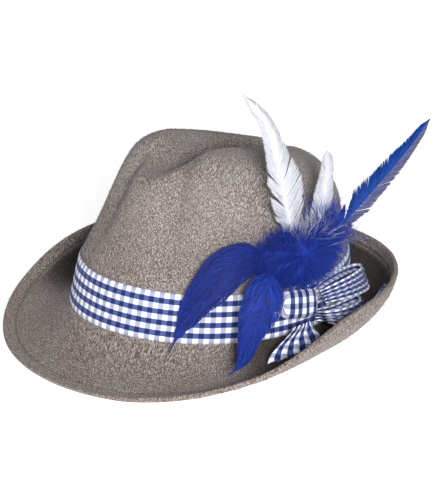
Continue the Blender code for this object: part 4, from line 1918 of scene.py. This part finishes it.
@dataclass
class QuillFeather:
    """A quill feather: a shaft with barbs on both sides, split and splayed where it is worn."""

    form: HatForm
    name: str
    rows: Sequence[QuillRow]
    turn: float
    up: float
    out: float
    length: float
    finish: Finish
    seed: int
    under_finish: Optional[Finish] = None
    vane_wide: float = 0.017
    shaft: float = 0.0011
    barb_step: float = 0.00042
    barb_wide: float = 0.00085
    thinness: float = 0.16
    sides: int = 4
    sweep: float = 0.16
    splay: float = 0.0
    spread_front: float = 0.0
    slit: int = 0
    downy: float = 0.25
    down_count: int = 150
    down_wide: float = 0.00022
    shaft_rings: int = 40
    shaft_sides: int = 8
    swing: float = 0.0

    @cached_property
    def spots(self) -> list[Vector]:
        """The points of the shaft, one for each row."""
        root = self.form.beside(self.turn, self.up * self.form.unit, self.out * self.form.unit)
        return [root + Vector((r.out, r.back, r.up)) * self.length for r in self.rows]

    def frame_at(self, where: float) -> tuple[Vector, Vector, Vector, float]:
        """The shaft at a place.

        Args:
            where: The share of the shaft's length.

        Returns:
            Its point, the way across the vane, the way the vane faces, and the vane's width.
        """
        index, share = self.place_of(where)
        place = (index + share) / (len(self.rows) - 1)
        point = on_curve(self.spots, place)
        ahead = on_curve(self.spots, min(place + 0.02, 1)) - on_curve(self.spots, max(place - 0.02, 0))
        swing = math.radians(self.swing)
        side = ahead.cross(Vector((math.cos(swing), -math.sin(swing), 0))).normalized()
        facing = side.cross(ahead).normalized()
        here, after = self.rows[index].width, self.rows[index + 1].width
        return point, side, facing, (here + (after - here) * share) * self.vane_wide

    def place_of(self, where: float) -> tuple[int, float]:
        """The place among the rows for a share of the length.

        Args:
            where: The share of the length.

        Returns:
            The row before it, and the share of the way to the next one.
        """
        places = [row.along for row in self.rows]
        index = max(i for i in range(len(places) - 1) if places[i] <= where)
        return index, (where - places[index]) / (places[index + 1] - places[index])

    def barbs(self, side_sign: int) -> list[Strand]:
        """The barbs of one side of the shaft.

        Args:
            side_sign: 1 for the side towards the hat's front, -1 for the other.

        Returns:
            The barbs, root to tip.
        """
        rng = random.Random(self.seed * 7 + side_sign)
        strands = []
        count = int(self.length / self.barb_step)
        clump = 0.0
        clump_left = 0
        turn = self.form.seat.to_3x3()
        for k in range(count):
            where = 0.03 + 0.94 * k / count
            if clump_left == 0:
                clump_left = rng.randint(6, 16)
                clump = rng.uniform(-0.4, 1.0)
            clump_left -= 1
            if side_sign > 0 and clump_left < self.slit and where < 0.55:
                continue
            _, _, facing, width = self.frame_at(where)
            low = 1 - smooth(where / 0.6)
            wider = 1 + self.spread_front * low * max(side_sign, 0)
            loose = self.splay * low
            reach = width / 2 * wider * (1 + loose * (0.4 * clump + 0.1)) * rng.uniform(0.93, 1.03)
            sweep = self.sweep * (1 - 0.55 * loose * max(clump, 0)) * rng.uniform(0.94, 1.06)
            path = []
            for step in range(8):
                share = step / 7
                on = min(where + sweep * share * (1 - 0.15 * share), 1.0)
                spot, across, face, _ = self.frame_at(on)
                rise = 0.12 * width * (1 - share * share)
                drift = rng.uniform(-1, 1) * 0.00012 * share
                out = reach * (share**0.85) * (1 - smooth((on - 0.9) / 0.1) * 0.9)
                path.append(spot + across * side_sign * out + face * (rise + drift))
            seated = [self.form.seat @ spot for spot in path]
            strands.append(Strand(seated, self.barb_wide, turn @ facing, rng.uniform(0.3, 1.0), 0.86))
        return strands

    def down(self) -> list[Strand]:
        """The soft loose barbs at the foot of the vane.

        Returns:
            The loose barbs.
        """
        rng = random.Random(self.seed * 13)
        strands = []
        for _ in range(int(self.down_count * self.downy)):
            where = rng.uniform(0.0, 0.22)
            point, side, facing, _ = self.frame_at(where)
            sign = rng.choice((-1, 1))
            ahead = side.cross(facing).normalized() * -1
            way = side * sign * rng.uniform(0.3, 1.0) + ahead * rng.uniform(0.5, 1.2)
            way = (way + facing * rng.uniform(-0.5, 0.6)).normalized()
            length = rng.uniform(0.007, 0.014)
            strands.append(hair(self.form, rng, point, way, length, self.down_wide, 0.35))
        return strands

    def shaft_body(self) -> Piece:
        """The shaft, thick at its root and fine at its tip.

        Returns:
            The shaft.
        """
        shell = Shell()
        rings = []
        for i in range(self.shaft_rings + 1):
            where = i / self.shaft_rings
            point, side, facing, width = self.frame_at(where)
            radius = self.shaft / 2 * (1 - 0.82 * where)
            centre = point + facing * 0.12 * width
            ring = []
            for j in range(self.shaft_sides):
                angle = 2 * math.pi * j / self.shaft_sides
                spoke = side * math.cos(angle) + facing * math.sin(angle)
                ring.append(self.form.seat @ (centre + spoke * radius))
            rings.append(ring)
        shell.add_loft(rings)
        return shell.piece(self.name + "_shaft", self.finish.material(), 0.95)

    def build(self, strands: StrandTree) -> list[Piece]:
        """Builds the feather: its barbs, its down and its shaft.

        Args:
            strands: The tree that makes barbs and hairs of lines.

        Returns:
            The pieces, the vane first.
        """
        near = self.barbs(1)
        far = self.barbs(-1)
        vanes = [("_vane", near + far + self.down(), self.finish)]
        if self.under_finish:
            vanes = [("_vane", far, self.finish), ("_under", near, self.under_finish)]
        pieces = [
            strands.grow(self.name + ending, barbs, finish.material(), self.thinness, self.sides)
            for ending, barbs, finish in vanes
        ]
        pieces.append(self.shaft_body())
        LOG.info("%s: %d barbs", self.name, len(near) + len(far))
        return pieces


def hair(
    form: HatForm, rng: random.Random, root: Vector, way: Vector, length: float, width: float, curl: float
) -> Strand:
    """A loose hair with a soft curl.

    Args:
        form: The hat's form, for its seat.
        rng: The seeded source of its unevenness.
        root: Where it starts.
        way: Which way it leaves, of length one.
        length: Its length.
        width: Its width.
        curl: How far it curls, as a share of its length.

    Returns:
        The hair.
    """
    bend = Vector((rng.gauss(0, 1), rng.gauss(0, 1), rng.gauss(-0.3, 1)))
    bend -= way * bend.dot(way)
    path = []
    for step in range(5):
        share = step / 4
        path.append(form.seat @ (root + way * length * share + bend * length * curl * 0.4 * share * share))
    facing = way.cross(bend)
    if facing.length < 1e-6:
        facing = Vector((0, 0, 1))
    return Strand(path, width, facing.normalized(), rng.uniform(0.1, 1.0), 0.75)


@dataclass
class Wisps:
    """Loose hairs that stand up in a spray between the quills."""

    form: HatForm
    name: str
    turn: float
    up: float
    out: float
    way: tuple[float, float, float]
    fan: float
    count: int
    lengths: tuple[float, float]
    finish: Finish
    seed: int
    width: float = 0.0003

    def build(self, strands: StrandTree) -> Piece:
        """Builds the spray.

        Args:
            strands: The tree that makes barbs and hairs of lines.

        Returns:
            The spray.
        """
        form = self.form
        rng = random.Random(self.seed)
        made = []
        for _ in range(self.count):
            up = (self.up + rng.gauss(0, 0.05)) * form.unit
            root = form.beside(self.turn + rng.gauss(0, 2.2), up, self.out * form.unit)
            way = (Vector(self.way) + Vector([rng.gauss(0, self.fan) for _ in range(3)])).normalized()
            made.append(hair(form, rng, root, way, rng.uniform(*self.lengths), self.width, 0.5))
        piece = strands.grow(self.name, made, self.finish.material(), 0.5)
        LOG.info("%s: %d hairs", self.name, len(made))
        return piece


@dataclass
class Hackle:
    """A soft drooping feather whose long barbs all run towards its tip."""

    form: HatForm
    name: str
    rows: Sequence[HackleRow]
    seed: int
    wide: float = 0.023
    deep: float = 0.005
    bright: float = 1.0
    heart_rings: int = 30
    heart_sides: int = 16
    barb_wide: float = 0.00040
    count: int = 1600

    @cached_property
    def spots(self) -> list[Vector]:
        """The points of its middle line, one for each row."""
        return [self.form.beside(r.turn, r.up * self.form.unit, r.out * self.form.unit) for r in self.rows]

    @cached_property
    def widths(self) -> list[float]:
        """The shares of the full width, one for each row."""
        return [row.width for row in self.rows]

    def frame_at(self, place: float) -> tuple[Vector, Vector, Vector, Vector, float]:
        """The hackle's middle at a place.

        Args:
            place: The place along the hackle, from 0 at its root to 1 at its tip.

        Returns:
            Its point, the way ahead, the way across, the way it faces, and its width as a share.
        """
        point = on_curve(self.spots, place)
        ahead = on_curve(self.spots, min(place + 0.03, 1)) - on_curve(self.spots, max(place - 0.03, 0))
        ahead.normalize()
        away = Vector((point.x, point.y, 0)).normalized() + Vector((0, 0, 0.6))
        side = ahead.cross(away).normalized()
        width = max(on_values(self.widths, place), 0.02)
        return point, ahead, side, side.cross(ahead).normalized(), width

    def heart(self) -> Piece:
        """The dense web of short barbs in the middle of the hackle, modelled as a slim body.

        Returns:
            The body.
        """
        rings = []
        for i in range(self.heart_rings):
            point, _, side, face, width = self.frame_at(0.04 + 0.86 * i / (self.heart_rings - 1))
            ring = []
            for j in range(self.heart_sides):
                angle = 2 * math.pi * j / self.heart_sides
                across = side * math.cos(angle) * width * self.wide * 0.36
                ring.append(self.form.seat @ (point + across + face * math.sin(angle) * self.deep * 0.12))
            rings.append(ring)
        shell = Shell()
        shell.add_loft(rings)
        return shell.piece(self.name + "_heart", Finish.BLUE.material(), 0.35 * self.bright)

    def build(self, strands: StrandTree) -> list[Piece]:
        """Builds the hackle from its barbs, over a slim body that fills it.

        Args:
            strands: The tree that makes barbs and hairs of lines.

        Returns:
            The barbs and the body.
        """
        rng = random.Random(self.seed)
        made = []
        for _ in range(self.count):
            start = rng.random() ** 0.9 * 0.93 - 0.04
            sign = rng.choice((-1, 1))
            spread = rng.random() ** 0.6
            run = rng.uniform(0.16, 0.30)
            layer = rng.uniform(-1, 1)
            path = []
            facing = None
            for step in range(9):
                share = step / 8
                place = min(max(start + run * share, 0.0), 1.0)
                over = max(start + run * share - 1.0, 0.0)
                point, ahead, side, face, width = self.frame_at(place)
                drawn = 1 - 0.85 * smooth((place - 0.75) / 0.25)
                opened = math.sin(min(share * 1.35, 1.0) * math.pi / 2)
                reach = width * self.wide / 2 * spread * drawn * opened
                thick = min(width, 0.7) * self.deep / 2 * math.sqrt(max(1 - spread * spread * 0.8, 0))
                spot = point + side * sign * reach + face * thick * layer + ahead * over * 0.03
                path.append(self.form.seat @ spot)
                if step == 3:
                    rolled = (face + side * sign * rng.uniform(-0.3, 0.6)).normalized()
                    facing = self.form.seat.to_3x3() @ rolled
            width = self.barb_wide * rng.uniform(0.7, 1.3)
            made.append(Strand(path, width, facing, rng.random() * self.bright, 0.8))
        piece = strands.grow(self.name, made, Finish.BLUE.material(), 0.3)
        LOG.info("%s: %d barbs", self.name, len(made))
        return [piece, self.heart()]


@dataclass
class BlueDown:
    """The down over the quills: a dark heart with soft blue hairs all round."""

    form: HatForm
    middle_turn: float = 85.0
    spread: float = 23.0
    height: float = 0.034
    depth: float = 0.017
    off: float = 0.0015
    count: int = 7200
    seed: int = 41
    hair_wide: float = 0.00026
    heart_sides: int = 48
    heart_rings: tuple[tuple[float, float], ...] = (
        (0.25, 0.0),
        (0.60, 0.0),
        (0.80, 0.0),
        (0.84, 0.2),
        (0.78, 0.5),
        (0.60, 0.7),
        (0.40, 0.82),
        (0.18, 0.86),
    )

    def point(self, share: float, angle: float, out: float) -> Vector:
        """A point of the down.

        Args:
            share: The share of the reach.
            angle: The angle round the middle.
            out: The distance off the felt.

        Returns:
            The point, in the frame of the head's oval.
        """
        form = self.form
        turn = self.middle_turn + self.spread * share * math.cos(angle)
        middle_up = form.unit * 0.86 + self.height / 2
        return form.beside(turn, middle_up + self.height / 2 * share * math.sin(angle), out)

    def heart(self) -> Piece:
        """The dense middle of the down.

        Returns:
            The heart.
        """
        rings = []
        for share, over in self.heart_rings:
            ring = []
            for j in range(self.heart_sides):
                angle = 2 * math.pi * j / self.heart_sides
                lock = 1 + 0.08 * math.cos(11 * angle + over * 3)
                out = self.off + 0.0008 + self.depth * over * 0.8 * (1 + 0.1 * math.cos(7 * angle))
                ring.append(self.form.seat @ self.point(share * lock, angle, out))
            rings.append(ring)
        shell = Shell()
        shell.add_loft(rings)
        return shell.piece("down_heart", Finish.BLUE.material(), 0.45)

    def build(self, strands: StrandTree) -> list[Piece]:
        """Builds the heart and the hairs.

        Args:
            strands: The tree that makes barbs and hairs of lines.

        Returns:
            The heart and the hairs.
        """
        rng = random.Random(self.seed)
        made = []
        middle = self.point(0, 0, self.off + self.depth * 0.2)
        for _ in range(self.count):
            angle = rng.uniform(0, 2 * math.pi)
            share = math.sqrt(rng.random()) * 0.82
            dome = math.sqrt(max(1 - share * share, 0))
            root = self.point(share, angle, self.off + self.depth * dome * rng.uniform(0.35, 0.85))
            way = (root - middle).normalized()
            side = self.point(share + 0.1, angle, self.off) - self.point(share, angle, self.off)
            side.normalize()
            way = (way * 0.45 + side * 0.75 + Vector([rng.gauss(0, 0.35) for _ in range(3)])).normalized()
            length = rng.uniform(0.005, 0.0125)
            made.append(hair(self.form, rng, root, way, length, self.hair_wide, 1.1))
        piece = strands.grow("down_hairs", made, Finish.BLUE.material(), 0.5)
        LOG.info("down: %d hairs", len(made))
        return [self.heart(), piece]


# The studio


@dataclass
class Studio:
    """The pale floor, the soft lights and the camera at the photograph's angle."""

    form: HatForm
    azimuth: float = 47.0
    elevation: float = 21.0
    distance: float = 1.1
    pixels_a_metre: float = 1468.0
    frame_long: float = 495.0
    sensor: float = 36.0
    aim_right: float = 0.0035
    aim_up: float = 0.0296
    floor_reach: float = 4.0
    floor_drop: float = 0.0002
    lit_height: float = 0.06

    def lamp(self, name: str, place: Vector, size: float, power: float, target: Vector) -> None:
        """Adds a soft square light that looks at a place.

        Args:
            name: Its name.
            place: Where it hangs.
            size: Its side.
            power: Its power.
            target: The place it looks at.
        """
        data = bpy.data.lights.new(name, "AREA")
        data.shape = "SQUARE"
        data.size = size
        data.energy = power
        made = stand(name, data)
        made.location = place
        made.rotation_euler = (target - place).to_track_quat("-Z", "Y").to_euler()

    def camera(self) -> None:
        """Adds the camera, tipped with the hat's seat as the photograph shows it."""
        turn = math.radians(self.azimuth)
        rise = math.radians(self.elevation)
        level = math.cos(rise)
        back = Vector((math.sin(turn) * level, -math.cos(turn) * level, math.sin(rise)))
        right = Vector((math.cos(turn), math.sin(turn), 0))
        up = back.cross(right)
        seat = self.form.seat.to_3x3()
        back, right, up = (seat @ axis for axis in (back, right, up))
        target = self.form.seat @ Vector() + right * self.aim_right + up * self.aim_up
        data = bpy.data.cameras.new("camera")
        data.sensor_width = self.sensor
        data.lens = self.pixels_a_metre * self.distance / self.frame_long * self.sensor
        made = stand("camera", data)
        axes = Matrix((right, up, back)).transposed().to_4x4()
        made.matrix_world = Matrix.Translation(target + back * self.distance) @ axes
        bpy.context.scene.camera = made

    def build(self) -> None:
        """Builds the floor, the backdrop's light and the lamps."""
        self.camera()
        mesh = bpy.data.meshes.new("floor")
        signs = ((-1, -1), (1, -1), (1, 1), (-1, 1))
        corners = [(x * self.floor_reach, y * self.floor_reach, -self.floor_drop) for x, y in signs]
        mesh.from_pydata(corners, [], [(0, 1, 2, 3)])
        mesh.materials.append(FloorFinish().build("floor"))
        stand("floor", mesh)
        world = bpy.data.worlds.new("studio")
        world.use_nodes = True
        set_inputs(world.node_tree.nodes["Background"], Color=(0.97, 0.98, 1.0, 1), Strength=0.14)
        bpy.context.scene.world = world
        bpy.context.scene.view_settings.view_transform = "Standard"
        middle = Vector((0, 0, self.lit_height))
        for name, place, size, power in LAMPS:
            self.lamp(name, Vector(place), size, power, middle)


# The whole hat


class Slot(Enum):
    """The record's material slots."""

    FELT = "felt"
    RIBBON = "checked_ribbon"
    WHITE = "white_feather"
    BLUE = "blue_feather"


def settle(pieces: Sequence[Piece], slot: Slot, *nodes: str) -> None:
    """Fixes pieces to the hat.

    Args:
        pieces: The pieces, which ride on the hat's one body.
        slot: The slot that their finish belongs to; not used.
        nodes: The CAD nodes that the first piece stands for, if any.
    """
    for piece in pieces:
        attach(piece, "root")
    if nodes:
        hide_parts(*nodes)


def main() -> None:
    """Builds the hat piece by piece, then the studio, and notes the sizes."""
    logging.basicConfig(level=logging.INFO, format="%(name)s: %(message)s")
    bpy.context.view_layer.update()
    form = HatForm()
    strands = StrandTree()
    settle(FeltBody(form).build(), Slot.FELT, "felt_body")
    settle([HatBand(form).build()], Slot.RIBBON, "hat_band")
    settle([BowKnot(form).build()], Slot.RIBBON, "bow_knot")
    upper = RibbonLoop(form, "loop_upper", UPPER_LOOP, -0.45)
    settle([upper.build()], Slot.RIBBON, "bow_loop_upper")
    lower = RibbonLoop(form, "loop_lower", LOWER_LOOP, -0.5, pleat_deep=0.0022)
    settle([lower.build()], Slot.RIBBON, "bow_loop_lower")
    front_tail = RibbonTail(form, "tail_front", FRONT_TAIL, 5, 0.0017, sway=0.6)
    settle([front_tail.build()], Slot.RIBBON, "bow_tail_front")
    back_tail = RibbonTail(form, "tail_back", BACK_TAIL, 4, 0.0030)
    settle([back_tail.build()], Slot.RIBBON, "bow_tail_back")
    tall = QuillFeather(
        form, "white_tall", TALL_QUILL, 81.5, 1.58, 0.20, 0.107, Finish.WHITE, 3,
        splay=0.9, spread_front=0.9, slit=2, downy=1.0, swing=22,
    )
    settle(tall.build(strands), Slot.WHITE, "white_feather_tall")
    short = QuillFeather(
        form, "white_short", SHORT_QUILL, 92, 1.58, 0.24, 0.056, Finish.WHITE, 5,
        splay=0.8, spread_front=0.3, downy=1.4, swing=25,
    )
    pale = Wisps(
        form, "pale_wisps", 87, 1.50, 0.26, (-0.1, -0.1, 1.0), 0.30, 120, (0.014, 0.030), Finish.WHITE, 61
    )
    settle([*short.build(strands), pale.build(strands)], Slot.WHITE, "white_feather_short")
    long = QuillFeather(
        form, "blue_long", LONG_QUILL, 101, 1.40, 0.20, 0.116, Finish.QUILL_BLUE, 8, Finish.GREY_VANE,
        sweep=0.13, splay=0.9, slit=3, swing=32,
    )
    whiskers = Wisps(
        form, "blue_whiskers", 103, 1.36, 0.20, (0.3, 0.7, 0.5), 0.35, 130, (0.011, 0.026), Finish.BLUE, 62
    )
    settle([*long.build(strands), whiskers.build(strands)], Slot.BLUE, "blue_feather_long")
    tuft = QuillFeather(
        form, "blue_tuft_vane", TUFT_QUILL, 98, 1.50, 0.12, 0.040, Finish.BLUE, 9, splay=1.0, downy=1.2
    )
    standing = Wisps(
        form, "tuft_wisps", 97, 1.50, 0.26, (0.0, 0.0, 1.0), 0.30, 420, (0.014, 0.031), Finish.BLUE, 63,
        width=0.0005,
    )
    streaks = Wisps(
        form, "tuft_streaks", 95, 1.48, 0.26, (0.1, 0.25, 0.8), 0.40, 50, (0.012, 0.026), Finish.WHITE, 64
    )
    settle([*tuft.build(strands), standing.build(strands)], Slot.BLUE, "blue_tuft")
    settle([streaks.build(strands)], Slot.WHITE)
    left = Hackle(form, "hackle_left", LEFT_HACKLE, 21, bright=0.5)
    settle(left.build(strands), Slot.BLUE, "blue_hackle_left")
    down = Hackle(form, "hackle_down", DOWN_HACKLE, 22)
    settle(down.build(strands), Slot.BLUE, "blue_hackle_down")
    settle(BlueDown(form).build(strands), Slot.BLUE, "blue_fluff")
    Studio(form).build()


if __name__ == "__main__":
    main()
